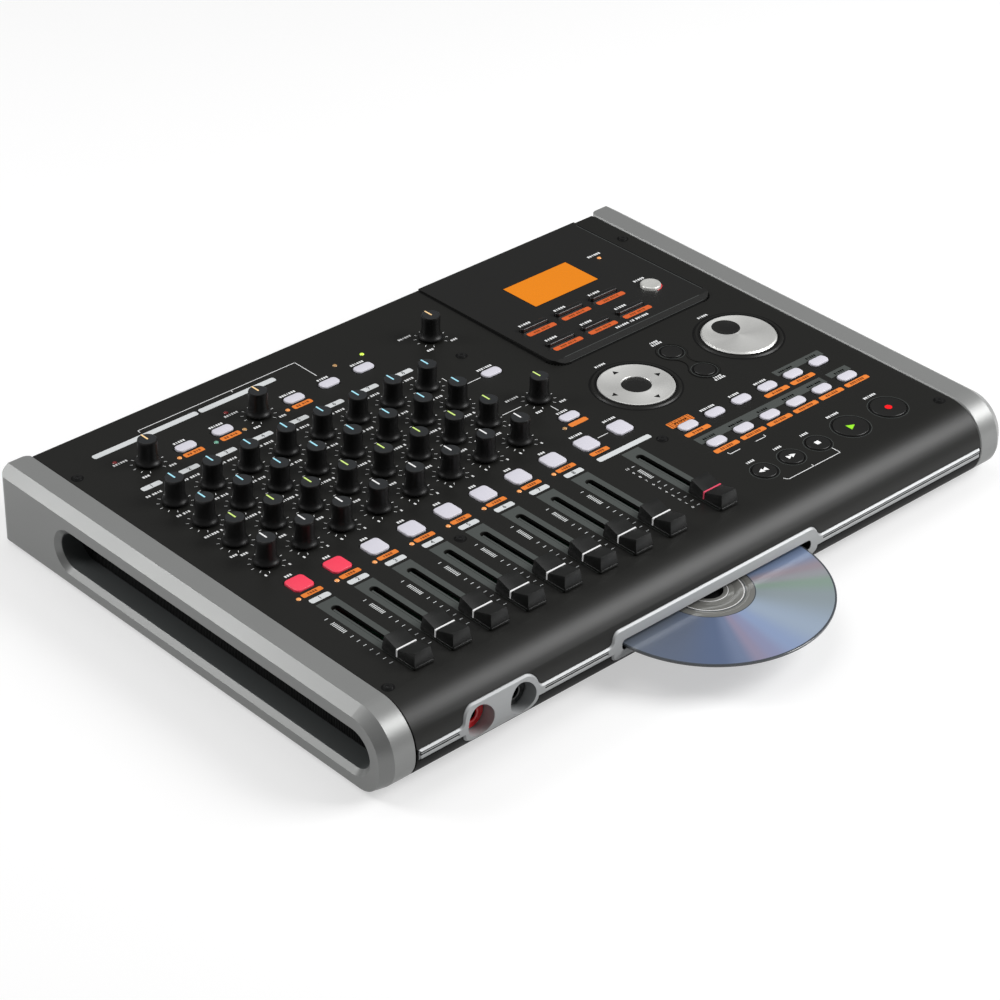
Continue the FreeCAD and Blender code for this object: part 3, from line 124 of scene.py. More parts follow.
class Graph:
    """A node tree with short calls to add and join its nodes."""

    def __init__(self, tree: bpy.types.NodeTree) -> None:
        """Start on a tree that is empty or about to be filled.

        Args:
            tree: The node tree.
        """
        self.tree = tree

    def node(self, kind: str, **settings: object) -> bpy.types.Node:
        """Add a node.

        Args:
            kind: The node's type name after ShaderNode.
            settings: Properties of the node to set.

        Returns:
            The new node.
        """
        made = self.tree.nodes.new("ShaderNode" + kind)
        for key, value in settings.items():
            setattr(made, key, value)
        return made

    def join(self, output: Socket, target: Socket) -> None:
        """Link two sockets.

        Args:
            output: The socket that gives the value.
            target: The socket that takes it.
        """
        self.tree.links.new(output, target)

    def feed(self, target: Socket, source: object) -> None:
        """Give an input a socket to follow or a plain value.

        Args:
            target: The input.
            source: The socket or the value.
        """
        if isinstance(source, Socket):
            self.join(source, target)
        else:
            target.default_value = source

    def maths(self, operation: str, first: object, second: object = 0.0, third: object = 0.0) -> Socket:
        """A Math node fed with sockets or numbers.

        Args:
            operation: The node's operation, such as MULTIPLY.
            first: The first value or socket.
            second: The second value or socket.
            third: The third value or socket.

        Returns:
            The node's result.
        """
        made = self.node("Math", operation=operation)
        for target, source in zip(made.inputs, (first, second, third)):
            self.feed(target, source)
        return made.outputs[0]

    def mix(self, factor: object, first: object, second: object) -> Socket:
        """Two colours mixed by a factor.

        Args:
            factor: How much of the second colour shows.
            first: A colour or its socket.
            second: A colour or its socket.

        Returns:
            The mixed colour's socket.
        """
        made = self.node("Mix", data_type="RGBA")
        self.feed(made.inputs["Factor"], factor)
        self.feed(made.inputs[6], first)
        self.feed(made.inputs[7], second)
        return made.outputs[2]

    def shaded(self, colour: object, shade: object) -> Socket:
        """A colour made lighter or darker.

        Args:
            colour: A colour or its socket.
            shade: The factor that it is scaled by.

        Returns:
            The new colour's socket.
        """
        made = self.node("VectorMath", operation="SCALE")
        self.feed(made.inputs[0], colour)
        self.feed(made.inputs["Scale"], shade)
        return made.outputs[0]

    def noise(self, place: object, density: object, detail: float) -> Socket:
        """A noise over the surface.

        Args:
            place: The socket of the place that it is read at.
            density: How often it changes in a metre.
            detail: The number of finer layers.

        Returns:
            The noise's socket, around one half.
        """
        made = self.node("TexNoise")
        self.feed(made.inputs["Vector"], place)
        self.feed(made.inputs["Scale"], density)
        made.inputs["Detail"].default_value = detail
        return made.outputs[0]

    def thread(self, radius: object, density: float) -> Socket:
        """A noise that changes with the radius only, as fine rings.

        Args:
            radius: The socket of the radius in metres.
            density: How often it changes in a metre.

        Returns:
            The noise's socket, around one half.
        """
        made = self.node("TexNoise", noise_dimensions="1D")
        self.feed(made.inputs["W"], radius)
        made.inputs["Scale"].default_value = density
        return made.outputs[0]

    def relief(self, height: object, distance: object) -> Socket:
        """The normals of a surface with a fine relief.

        Args:
            height: The socket of the height, from 0 to 1.
            distance: The height of 1 in metres, or its socket.

        Returns:
            The socket of the normals.
        """
        made = self.node("Bump")
        self.feed(made.inputs["Height"], height)
        self.feed(made.inputs["Distance"], distance)
        return made.outputs[0]


class Group:
    """A shader node group that is built once and placed in many materials."""

    name = "group"
    inputs: tuple[tuple[str, str, object], ...] = ()
    outputs: tuple[tuple[str, str], ...] = ()

    def tree(self) -> bpy.types.NodeTree:
        """The group's tree, built at its first use."""
        found = bpy.data.node_groups.get(self.name)
        if found is not None:
            return found
        tree = bpy.data.node_groups.new(self.name, "ShaderNodeTree")
        for label, kind, value in self.inputs:
            socket = tree.interface.new_socket(label, in_out="INPUT", socket_type="NodeSocket" + kind)
            socket.default_value = value
        for label, kind in self.outputs:
            tree.interface.new_socket(label, in_out="OUTPUT", socket_type="NodeSocket" + kind)
        graph = Graph(tree)
        entry = tree.nodes.new("NodeGroupInput").outputs
        leave = tree.nodes.new("NodeGroupOutput").inputs
        self.wire(graph, entry, leave)
        return tree

    def wire(self, graph: Graph, entry: object, leave: object) -> None:
        """Add the nodes between the group's inputs and outputs.

        Args:
            graph: The group's graph.
            entry: The group's inputs.
            leave: The group's outputs.
        """
        raise NotImplementedError

    def put_out(self, graph: Graph, entry: object, leave: object, centred: object, height: object) -> None:
        """Shade the colour, spread the gloss and raise the relief by a pattern.

        Args:
            graph: The group's graph.
            entry: The group's inputs.
            leave: The group's outputs.
            centred: The pattern's socket, from -1 to 1.
            height: The socket that the relief follows.
        """
        shade = graph.maths("MULTIPLY_ADD", centred, entry["Tint"], 1.0)
        graph.join(graph.shaded(entry["Colour"], shade), leave["Colour"])
        graph.join(graph.maths("MULTIPLY_ADD", centred, entry["Spread"], entry["Gloss"]), leave["Roughness"])
        graph.join(graph.relief(height, entry["Relief"]), leave["Normal"])

    def place(self, graph: Graph, **values: object) -> object:
        """Put the group in a material.

        Args:
            graph: The material's graph.
            values: A value or socket for each named input.

        Returns:
            The outputs of the placed group.
        """
        made = graph.node("Group")
        made.node_tree = self.tree()
        for label, value in values.items():
            graph.feed(made.inputs[label.replace("_", " ").capitalize()], value)
        return made.outputs


class Grain(Group):
    """Moulding grain: fine relief with small changes of colour and gloss."""

    name = "moulding_grain"
    inputs = (
        ("Colour", "Color", (0.5, 0.5, 0.5, 1.0)),
        ("Density", "Float", 1200.0),
        ("Tint", "Float", 0.1),
        ("Gloss", "Float", 0.5),
        ("Spread", "Float", 0.05),
        ("Relief", "Float", 0.00001),
    )
    outputs = (("Colour", "Color"), ("Roughness", "Float"), ("Normal", "Vector"))
    fine_detail = 3.0
    cloud_density = 22.0
    cloud_detail = 4.0
    cloud_share = 0.6

    def wire(self, graph: Graph, entry: object, leave: object) -> None:
        """Mix a fine noise for the grain with a broad one for handling.

        Args:
            graph: The group's graph.
            entry: The group's inputs.
            leave: The group's outputs.
        """
        place = graph.node("TexCoord").outputs["Object"]
        fine = graph.noise(place, entry["Density"], self.fine_detail)
        cloud = graph.noise(place, self.cloud_density, self.cloud_detail)
        mottle = graph.maths("MULTIPLY_ADD", cloud, self.cloud_share, 0.5 - self.cloud_share / 2)
        speck = graph.maths("MULTIPLY_ADD", fine, 1 - self.cloud_share, self.cloud_share / 2 - 0.5)
        swing = graph.maths("ADD", mottle, speck)
        centred = graph.maths("MULTIPLY_ADD", swing, 2.0, -1.0)
        self.put_out(graph, entry, leave, centred, fine)


class Brushing(Group):
    """Brushed metal: fine streaks along one axis of the piece."""

    name = "brushing"
    inputs = (
        ("Colour", "Color", (0.5, 0.5, 0.5, 1.0)),
        ("Stretch", "Vector", (1.0, 1.0, 1.0)),
        ("Tint", "Float", 0.1),
        ("Gloss", "Float", 0.35),
        ("Spread", "Float", 0.08),
        ("Relief", "Float", 0.000005),
    )
    outputs = (("Colour", "Color"), ("Roughness", "Float"), ("Normal", "Vector"))
    streak_detail = 3.0

    def wire(self, graph: Graph, entry: object, leave: object) -> None:
        """Stretch a noise along the brushing and read it three ways.

        Args:
            graph: The group's graph.
            entry: The group's inputs.
            leave: The group's outputs.
        """
        place = graph.node("TexCoord").outputs["Object"]
        stretch = graph.node("VectorMath", operation="MULTIPLY")
        graph.join(place, stretch.inputs[0])
        graph.join(entry["Stretch"], stretch.inputs[1])
        streak = graph.noise(stretch.outputs[0], 1.0, self.streak_detail)
        centred = graph.maths("MULTIPLY_ADD", streak, 2.0, -1.0)
        self.put_out(graph, entry, leave, centred, streak)


class Rings(Group):
    """Distance and angle about an upright axis of the piece."""

    name = "rings"
    inputs = (("Centre", "Vector", (0.0, 0.0, 0.0)),)
    outputs = (("Radius", "Float"), ("Turn", "Float"))

    def wire(self, graph: Graph, entry: object, leave: object) -> None:
        """Measure the radius in metres and the turn from 0 to 1.

        Args:
            graph: The group's graph.
            entry: The group's inputs.
            leave: The group's outputs.
        """
        place = graph.node("TexCoord").outputs["Object"]
        apart = graph.node("VectorMath", operation="SUBTRACT")
        graph.join(place, apart.inputs[0])
        graph.join(entry["Centre"], apart.inputs[1])
        flat = graph.node("VectorMath", operation="MULTIPLY")
        graph.join(apart.outputs[0], flat.inputs[0])
        flat.inputs[1].default_value = (1.0, 1.0, 0.0)
        length = graph.node("VectorMath", operation="LENGTH")
        graph.join(flat.outputs[0], length.inputs[0])
        graph.join(length.outputs["Value"], leave["Radius"])
        split = graph.node("SeparateXYZ")
        graph.join(flat.outputs[0], split.inputs[0])
        angle = graph.maths("ARCTAN2", split.outputs[1], split.outputs[0])
        graph.join(graph.maths("MULTIPLY_ADD", angle, 1 / math.tau, 0.5), leave["Turn"])


@dataclass(frozen=True)
class Finish:
    """A moulded, painted or printed surface and what it is mixed from."""

    name: str
    paint: str
    gloss: float = 0.5
    metallic: float = 0.0
    specular: float = 0.5
    coat: float = 0.0
    coat_gloss: float = 0.15
    density: float = 1200.0
    tint: float = 0.08
    spread: float = 0.05
    relief: float = 0.00001
    glow: float = 0.0

    def material(self) -> bpy.types.Material:
        """The finish as a material, made at its first use."""
        found = bpy.data.materials.get(self.name)
        if found is not None:
            return found
        made = bpy.data.materials.new(self.name)
        made.use_nodes = True
        graph = Graph(made.node_tree)
        shader = made.node_tree.nodes["Principled BSDF"]
        shader.inputs["Metallic"].default_value = self.metallic
        shader.inputs["Specular IOR Level"].default_value = self.specular
        shader.inputs["Coat Weight"].default_value = self.coat
        shader.inputs["Coat Roughness"].default_value = self.coat_gloss
        self.dress(graph, shader)
        made.diffuse_color = linear(self.paint)
        return made

    def dress(self, graph: Graph, shader: bpy.types.Node) -> None:
        """Feed the shader with the colour, the gloss and the relief.

        Args:
            graph: The material's graph.
            shader: The material's shader.
        """
        out = self.place(graph, Grain(), density=self.density)
        self.apply(graph, shader, out["Colour"], out)

    def place(self, graph: Graph, group: Group, **pattern: object) -> object:
        """Put a group in the material with this finish's own values.

        Args:
            graph: The material's graph.
            group: The group.
            pattern: The inputs that only this kind of group has.

        Returns:
            The outputs of the placed group.
        """
        return group.place(
            graph, colour=linear(self.paint), tint=self.tint, gloss=self.gloss, spread=self.spread,
            relief=self.relief, **pattern,
        )

    def apply(self, graph: Graph, shader: bpy.types.Node, colour: object, out: object) -> None:
        """Join a colour and a group's gloss and relief to the shader.

        Args:
            graph: The material's graph.
            shader: The material's shader.
            colour: The colour's socket.
            out: The group's outputs.
        """
        graph.join(colour, shader.inputs["Base Color"])
        graph.join(out["Roughness"], shader.inputs["Roughness"])
        graph.join(out["Normal"], shader.inputs["Normal"])
        if self.glow:
            graph.join(colour, shader.inputs["Emission Color"])
            shader.inputs["Emission Strength"].default_value = self.glow


@dataclass(frozen=True)
class Brushed(Finish):
    """A metal with streaks; stretch is the density of the streaks along each axis."""

    stretch: tuple[float, float, float] = (40.0, 4000.0, 4000.0)

    def dress(self, graph: Graph, shader: bpy.types.Node) -> None:
        """Feed the shader from the brushing.

        Args:
            graph: The material's graph.
            shader: The material's shader.
        """
        out = self.place(graph, Brushing(), stretch=self.stretch)
        self.apply(graph, shader, out["Colour"], out)


@dataclass(frozen=True)
class Turned(Finish):
    """A metal face turned on a lathe: fine rings, a streak of sheen across them, and two broad lobes of
    painted sheen that lighten and darken its colour by turn.
    """

    centre: tuple[float, float, float] = (0.0, 0.0, 0.0)
    ring_density: float = 2600.0
    ring_relief: float = 0.000004
    sheen_turn: float = 0.8
    painted_sheen_turn: float = 208.0
    painted_sheen_depth: float = 0.13

    def dress(self, graph: Graph, shader: bpy.types.Node) -> None:
        """Feed the shader with rings about the centre, painted sheen in two lobes by turn, and a radial
        tangent.

        Args:
            graph: The material's graph.
            shader: The material's shader.
        """
        out = self.place(graph, Grain(), density=self.density)
        rings = Rings().place(graph, centre=self.centre)
        thread = graph.thread(rings["Radius"], self.ring_density)
        shade = graph.maths("MULTIPLY_ADD", thread, 2 * self.tint, 1 - self.tint)
        # Painted sheen: the colour is lightened and darkened in two lobes by turn about the centre.
        turn = graph.maths("MULTIPLY_ADD", rings["Turn"], 2 * math.tau, math.radians(self.painted_sheen_turn))
        painted_sheen = graph.maths("MULTIPLY_ADD", graph.maths("COSINE", turn), self.painted_sheen_depth, 1 - self.painted_sheen_depth)
        colour = graph.shaded(out["Colour"], graph.maths("MULTIPLY", shade, painted_sheen))
        graph.join(colour, shader.inputs["Base Color"])
        graph.join(out["Roughness"], shader.inputs["Roughness"])
        graph.join(graph.relief(thread, self.ring_relief), shader.inputs["Normal"])
        shader.inputs["Anisotropic"].default_value = self.sheen_turn
        tangent = graph.node("Tangent", direction_type="RADIAL", axis="Z")
        graph.join(tangent.outputs[0], shader.inputs["Tangent"])


@dataclass(frozen=True)
class Film(Finish):
    """The metal film of a disc: fine tracks, and the rainbow that the tracks make of the light painted into
    its colour as wedges by turn.
    """

    centre: tuple[float, float, float] = (0.0, 0.0, 0.0)
    painted_wedges: tuple[tuple[float, str], ...] = ()
    track_density: float = 5200.0

    def dress(self, graph: Graph, shader: bpy.types.Node) -> None:
        """Paint the film's rainbow sheen into its colour by its turn about the centre, with fine tracks.

        Args:
            graph: The material's graph.
            shader: The material's shader.
        """
        rings = Rings().place(graph, centre=self.centre)
        ramp = graph.node("ValToRGB")
        graph.join(rings["Turn"], ramp.inputs[0])
        stops = ramp.color_ramp
        stops.interpolation = "EASE"
        for stop, (place, paint) in enumerate(self.painted_wedges):
            spot = stops.elements[stop] if stop < 2 else stops.elements.new(place)
            spot.position = place
            spot.color = linear(paint)
        track = graph.thread(rings["Radius"], self.track_density)
        shade = graph.maths("MULTIPLY_ADD", track, 2 * self.tint, 1 - self.tint)
        graph.join(graph.shaded(ramp.outputs[0], shade), shader.inputs["Base Color"])
        rough = graph.maths("MULTIPLY_ADD", track, 2 * self.spread, self.gloss - self.spread)
        graph.join(rough, shader.inputs["Roughness"])


@dataclass(frozen=True)
class Display(Finish):
    """A lit display: a glowing field behind glass, with a faint raster of cells."""

    cell: float = 0.55
    line: float = 0.12
    dim_paint: str = "#b86a04"
    dim_share: float = 0.35

    def dress(self, graph: Graph, shader: bpy.types.Node) -> None:
        """Darken the lines between the cells.

        Args:
            graph: The material's graph.
            shader: The material's shader.
        """
        place = graph.node("TexCoord").outputs["Object"]
        split = graph.node("SeparateXYZ")
        graph.join(place, split.inputs[0])
        lines = []
        for axis in (0, 1):
            wrapped = graph.maths("PINGPONG", split.outputs[axis], self.cell * MM / 2)
            lines.append(graph.maths("LESS_THAN", wrapped, self.line * MM / 2))
        grid = graph.maths("MAXIMUM", lines[0], lines[1])
        out = self.place(graph, Grain(), density=self.density)
        dim = graph.maths("MULTIPLY", grid, self.dim_share)
        colour = graph.mix(dim, out["Colour"], linear(self.dim_paint))
        self.apply(graph, shader, colour, out)


def ink(name: str, paint: str, tint: float = 0.05) -> Finish:
    """A printed ink.

    Args:
        name: The finish's name.
        paint: Its colour.
        tint: How much the colour changes over the surface.

    Returns:
        The finish.
    """
    return Finish(name, paint, gloss=0.55, specular=0.3, tint=tint, relief=0.000004)


def mark(name: str, paint: str, glow: float = 0.15, tint: float = 0.05) -> Finish:
    """A pointer or a line that is bright in the photograph.

    Args:
        name: The finish's name.
        paint: Its colour.
        glow: How much light it gives off.
        tint: How much the colour changes over the surface.

    Returns:
        The finish.
    """
    # The glow is painted light: these pointers and lines are no lamps.
    return Finish(name, paint, gloss=0.5, specular=0.3, tint=tint, glow=glow)


def lens(name: str, paint: str, glow: float = 0.0) -> Finish:
    """The clear cap of a small lamp.

    Args:
        name: The finish's name.
        paint: Its colour.
        glow: How much light it gives off.

    Returns:
        The finish.
    """
    return Finish(name, paint, gloss=0.15, specular=0.5, coat=0.5, tint=0.1, glow=glow)


class Paint:
    """The finishes of the recorder."""

    PANEL = Finish("panel_satin", "#1a1a18", gloss=0.43, specular=0.36, tint=0.06, relief=0.000012)
    TRAY = Finish("tray_satin", "#0d0d0d", gloss=0.6, specular=0.12)
    CHEEK = Finish(
        "cheek_metallic", "#979897", gloss=0.38, metallic=0.35, specular=0.5, density=2600.0,
        tint=0.05, spread=0.06, relief=0.000006,
    )
    LINER = Finish("liner_satin", "#565959", gloss=0.5, specular=0.35)
    # Painted shade: a darker copy of the liner for the recess's shaded back wall.
    LINER_SHADE = Finish("liner_painted_shade", "#202121", gloss=0.5, specular=0.35)
    TRIM = Brushed(
        "trim_satin", "#b4b6b7", gloss=0.46, metallic=0.25, tint=0.05, spread=0.05, relief=0.000003,
        stretch=(60.0, 3000.0, 3000.0),
    )
    # Dark gaps and joints, also used as painted shade in the strip's grooves and on the screw sockets.
    GROOVE_AND_SHADE = Finish("groove_and_painted_shade", "#0b0b0b", gloss=0.7, specular=0.2)
    KNOB_SIDE = Finish("knob_gloss", "#0f0f0f", gloss=0.4, specular=0.38, tint=0.1)
    KNOB_TOP = Finish("knob_top", "#27292b", gloss=0.5, specular=0.4, tint=0.08)
    CAP = Finish("cap_satin", "#151615", gloss=0.4, specular=0.45)
    KEY_BLACK = Finish("key_rubber", "#161615", gloss=0.42, specular=0.45)
    KEY_GLOSS = Finish("key_gloss", "#0e0e0e", gloss=0.3, specular=0.5, coat=0.3)
    KEY_WHITE = Finish(
        "key_milk", "#dddbe5", gloss=0.42, specular=0.4, coat=0.15, tint=0.03, relief=0.000004,
    )
    KEY_LIT = Finish(
        "key_lit_red", "#fb4660", gloss=0.42, specular=0.4, coat=0.15, tint=0.03, relief=0.000004, glow=0.06,
    )
    INK_WHITE = ink("ink_white", "#d9dcdd")
    INK_LEGEND = ink("ink_legend", "#f0f1f1", tint=0.06)
    INK_DARK = ink("ink_dark", "#17191a")
    # Grey print, also used for the painted highlight rings round the round keys.
    GREY_INK_AND_HIGHLIGHT = Finish("grey_ink_and_painted_highlight", "#4b4f4d", gloss=0.5, specular=0.35, tint=0.06, relief=0.000008)
    # Painted highlight along the pod's bevel edges.
    EDGE_HIGHLIGHT = Finish("painted_edge_highlight", "#505352", gloss=0.35, specular=0.5, tint=0.06)
    INK_BROWN = ink("ink_brown", "#8a4416")
    INK_ORANGE = ink("ink_orange", "#ec8434")
    INK_RUST = ink("ink_rust", "#d9632f")
    # Pointer and line marks with a faint painted glow.
    MARK_BLUE = mark("mark_blue", "#a9e6f7")
    MARK_GREEN = mark("mark_green", "#d3ee86")
    MARK_WHITE = mark("mark_white", "#f2f2f2", glow=0.1, tint=0.04)
    MARK_AMBER = mark("mark_amber", "#ffd9a0")
    MARK_RED = mark("mark_red", "#e0506a", glow=0.1)
    LAMP_RED = lens("lamp_red", "#8e1418")
    LAMP_AMBER = lens("lamp_amber", "#c79a63")
    LAMP_ORANGE = lens("lamp_orange", "#f0a05a", glow=0.3)
    LAMP_GREEN = lens("lamp_green", "#c6ea4c", glow=0.6)
    LAMP_TEAL = lens("lamp_teal", "#79b89f")
    GLOW_RED = Finish("glow_red", "#e2323a", gloss=0.3, specular=0.4, tint=0.1, glow=0.8)
    ICON_GREEN = Finish("icon_green", "#93e02c", gloss=0.4, specular=0.3, tint=0.05, glow=0.2)
    ICON_RED = Finish("icon_red", "#f0141c", gloss=0.4, specular=0.3, tint=0.05, glow=0.2)
    POD = Finish("pod_satin", "#1b1b1a", gloss=0.4, specular=0.42, tint=0.06, relief=0.000012)
    LCD = Display("display_orange", "#d87a00", gloss=0.4, specular=0.4, coat=0.3, tint=0.07, glow=0.35)
    # The faint glow is painted light that lifts the red collar deep in its hole; it is no lamp.
    JACK_RED = Finish("jack_red", "#d80f1a", gloss=0.22, specular=0.5, coat=0.4, glow=0.06)
    JACK_BLACK = Finish("jack_gloss", "#121212", gloss=0.25, specular=0.5, coat=0.3)
    SOCKET = Finish("socket_satin", "#151515", gloss=0.45, specular=0.4)
    STEEL = Brushed(
        "steel_plain", "#7d7f80", gloss=0.35, metallic=1.0, stretch=(200.0, 900.0, 900.0), relief=0.000002,
    )
    SCREW = Finish("screw_black", "#3c3c3c", gloss=0.24, metallic=0.8, specular=0.5)
    RUBBER = Finish("foot_rubber", "#101010", gloss=0.8, specular=0.25)
    BOARD = Finish("board_lacquer", "#12402a", gloss=0.35, specular=0.5, tint=0.12)
    HUB = Finish("disc_hub", "#7f7f7b", gloss=0.15, metallic=0.1, specular=0.5, coat=0.6, tint=0.04)
    DISC_RIM = Finish("disc_rim", "#4b5056", gloss=0.15, specular=0.5, coat=0.6, tint=0.04)
    POWER = Brushed(
        "power_silver", "#e6e6e2", gloss=0.3, metallic=0.4, stretch=(900.0, 900.0, 900.0), relief=0.000002,
    )


# Places and shapes


@lru_cache(maxsize=None)
def node_box(node: str) -> tuple[Vector, Vector]:
    """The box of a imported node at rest.

    Args:
        node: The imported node.

    Returns:
        Its lowest and its highest corner, in metres.
    """
    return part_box(node)


@dataclass(frozen=True)
class Deck:
    """Turns places counted from the middle of the front edge into the frame."""

    sheet: float = 1.5

    @property
    def front_y(self) -> float:
        """Y of the front face, in metres."""
        return node_box("left_cheek")[0].y

    @property
    def top_z(self) -> float:
        """Z of the top panel's upper side, in metres."""
        return node_box("bottom_tray")[1].z + self.sheet * MM

    def at(self, x: float, y: float, z: float = 0.0) -> Vector:
        """A place in the frame.

        Args:
            x: Millimetres to the right of the middle.
            y: Millimetres behind the front face.
            z: Millimetres above the panel.

        Returns:
            The same place in metres.
        """
        return Vector((x * MM, self.front_y + y * MM, self.top_z + z * MM))

    def middle(self, node: str) -> Pair:
        """The middle of a node's box on the deck.

        Args:
            node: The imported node.

        Returns:
            X and Y, in millimetres.
        """
        low, high = node_box(node)
        return ((low.x + high.x) / 2 / MM, ((low.y + high.y) / 2 - self.front_y) / MM)

    def column(self, index: float) -> float:
        """Where a column of the control grid is.

        Args:
            index: The column, counted from 0 at the first channel.

        Returns:
            X, in millimetres.
        """
        first = self.middle("channel_1_treble_knob")[0]
        second = self.middle("channel_2_treble_knob")[0]
        return first + (second - first) * index

    def row(self, name: str) -> float:
        """Where a row of channel knobs is.

        Args:
            name: Its name: treble, bass, effect or pan.

        Returns:
            Y on the deck, in millimetres.
        """
        return self.middle("channel_1_%s_knob" % name)[1]


DECK = Deck()
KNOB_ROWS = ("treble", "bass", "effect", "pan")
LEVEL_KNOBS = ("level_a_knob", "level_b_knob", "phones_knob", "effect_return_knob")
CHANNELS = 8
TURNING_CHANNELS = 4
MASTER_COLUMN = 8.5


def placed(x: float, y: float, z: float = 0.0, turn: float = 0.0) -> Matrix:
    """The matrix that sets a shape made about the origin on the deck.

    Args:
        x: Millimetres to the right of the middle.
        y: Millimetres behind the front face.
        z: Millimetres above the panel.
        turn: Degrees about the upright axis.

    Returns:
        The matrix.
    """
    return Matrix.Translation(DECK.at(x, y, z)) @ Matrix.Rotation(math.radians(turn), 4, "Z")


def fronted(x: float, y: float, drop: float) -> Matrix:
    """The matrix that sets a shape made about the origin on the front, its top facing forwards.

    Args:
        x: Millimetres to the right of the middle.
        y: Millimetres behind the front face.
        drop: Millimetres below the panel.

    Returns:
        The matrix.
    """
    return Matrix.Translation(DECK.at(x, y, -drop)) @ Matrix.Rotation(math.pi / 2, 4, "X")


def push(part: Shape, faces: Sequence[bmesh.types.BMFace], reach: Vector) -> list:
    """Extrude faces along a direction.

    Args:
        part: The shape that the faces belong to.
        faces: The faces to extrude.
        reach: How far they go.

    Returns:
        The vertices of the moved end.
    """
    made = bmesh.ops.extrude_face_region(part, geom=list(faces))["geom"]
    moved = [item for item in made if isinstance(item, bmesh.types.BMVert)]
    bmesh.ops.translate(part, verts=moved, vec=reach)
    return moved


def closed(part: Shape) -> Shape:
    """Merge the doubles of a shape and turn its faces outwards.

    Args:
        part: The shape.

    Returns:
        The same shape.
    """
    bmesh.ops.remove_doubles(part, verts=part.verts, dist=MERGE_DISTANCE)
    bmesh.ops.recalc_face_normals(part, faces=part.faces)
    return part


def take_in(whole: Shape, part: Shape) -> None:
    """Add a shape to another one.

    Args:
        whole: The shape that grows.
        part: The shape that is added, which is used up.
    """
    holder = bpy.data.meshes.new("holder")
    part.to_mesh(holder)
    part.free()
    whole.from_mesh(holder)
    bpy.data.meshes.remove(holder)


def rectangle(part: Shape, width: float, length: float, low: float, y: float = 0.0) -> list:
    """Add a flat rectangle to a shape.

    Args:
        part: The shape.
        width: The rectangle's size along X, in millimetres.
        length: Its size along Y.
        low: Its height.
        y: How far its middle lies behind the origin.

    Returns:
        Its four vertices.
    """
    corners = []
    for side_x, side_y in ((-1, -1), (1, -1), (1, 1), (-1, 1)):
        corners.append(part.verts.new((side_x * width / 2 * MM, (y + side_y * length / 2) * MM, low * MM)))
    part.faces.new(corners)
    return corners


def soften(part: Shape, geometry: Sequence, reach: float, steps: int, affect: str) -> None:
    """Round the corners or the edges of a shape.

    Args:
        part: The shape.
        geometry: The vertices or the edges to round.
        reach: The radius, in millimetres.
        steps: Segments in the round.
        affect: VERTICES for corners or EDGES.
    """
    bmesh.ops.bevel(
        part, geom=geometry, offset=reach * MM, offset_type="OFFSET", segments=steps, profile=0.5,
        affect=affect, clamp_overlap=True, material=-1,
    )


def slab(
    width: float,
    length: float,
    low: float,
    high: float,
    corner: float = 0.0,
    edge: float = 0.0,
    corner_steps: int = 6,
) -> Shape:
    """A plate about the origin with round corners and a round upper edge.

    Args:
        width: Its size along X, in millimetres.
        length: Its size along Y.
        low: The height of its underside.
        high: The height of its top.
        corner: The radius of its corners.
        edge: The radius of its upper edge.
        corner_steps: Segments in a corner.

    Returns:
        The shape, in metres.
    """
    part = bmesh.new()
    rectangle(part, width, length, low)
    if corner:
        reach = min(corner, ROUND_END * width, ROUND_END * length)
        soften(part, part.verts[:], reach, corner_steps, "VERTICES")
    top = push(part, part.faces[:], Vector((0, 0, (high - low) * MM)))
    if edge:
        ring = set(top)
        rim = [line for line in part.edges if line.verts[0] in ring and line.verts[1] in ring]
        soften(part, rim, edge, EDGE_STEPS, "EDGES")
    return closed(part)


def band(inner: float, outer: float, low: float, high: float) -> Points:
    """The half section of a flat ring; without its last pair it serves a part of a turn.

    Args:
        inner: The inner radius.
        outer: The outer radius.
        low: The height of its underside.
        high: The height of its top.

    Returns:
        Pairs of radius and height, the first one again at the end.
    """
    return ((inner, low), (outer, low), (outer, high), (inner, high), (inner, low))


def button(
    radius: float, under: float, rim: Sequence[Pair], top: Sequence[Pair],
) -> Points:
    """The half section of a round key.

    Args:
        radius: The key's radius.
        under: The height of its underside.
        rim: Pairs of distance inside the radius and height, from the outside inwards.
        top: Pairs of radius and height, from the rim to the middle.

    Returns:
        Pairs of radius and height.
    """
    return ((0, under), (radius, under), *((radius - inset, height) for inset, height in rim), *top)


def lathe(section: Sequence[Pair], steps: int = Steps.KEY, turn: float = 360.0) -> Shape:
    """A shape turned about the upright axis through the origin.

    Args:
        section: Pairs of radius and height in millimetres, along the half section.
        steps: Segments round the axis.
        turn: Degrees to turn through.

    Returns:
        The shape, in metres.
    """
    part = bmesh.new()
    points = [part.verts.new((radius * MM, 0, height * MM)) for radius, height in section]
    for first, second in zip(points, points[1:]):
        part.edges.new((first, second))
    whole = turn >= 360
    if not whole:
        part.edges.new((points[-1], points[0]))
        part.faces.new(points)
    bmesh.ops.spin(
        part, geom=part.verts[:] + part.edges[:] + part.faces[:], cent=(0, 0, 0), axis=(0, 0, 1),
        dvec=(0, 0, 0), angle=math.radians(turn), steps=steps, use_merge=whole, use_normal_flip=False,
        use_duplicate=False,
    )
    return closed(part)


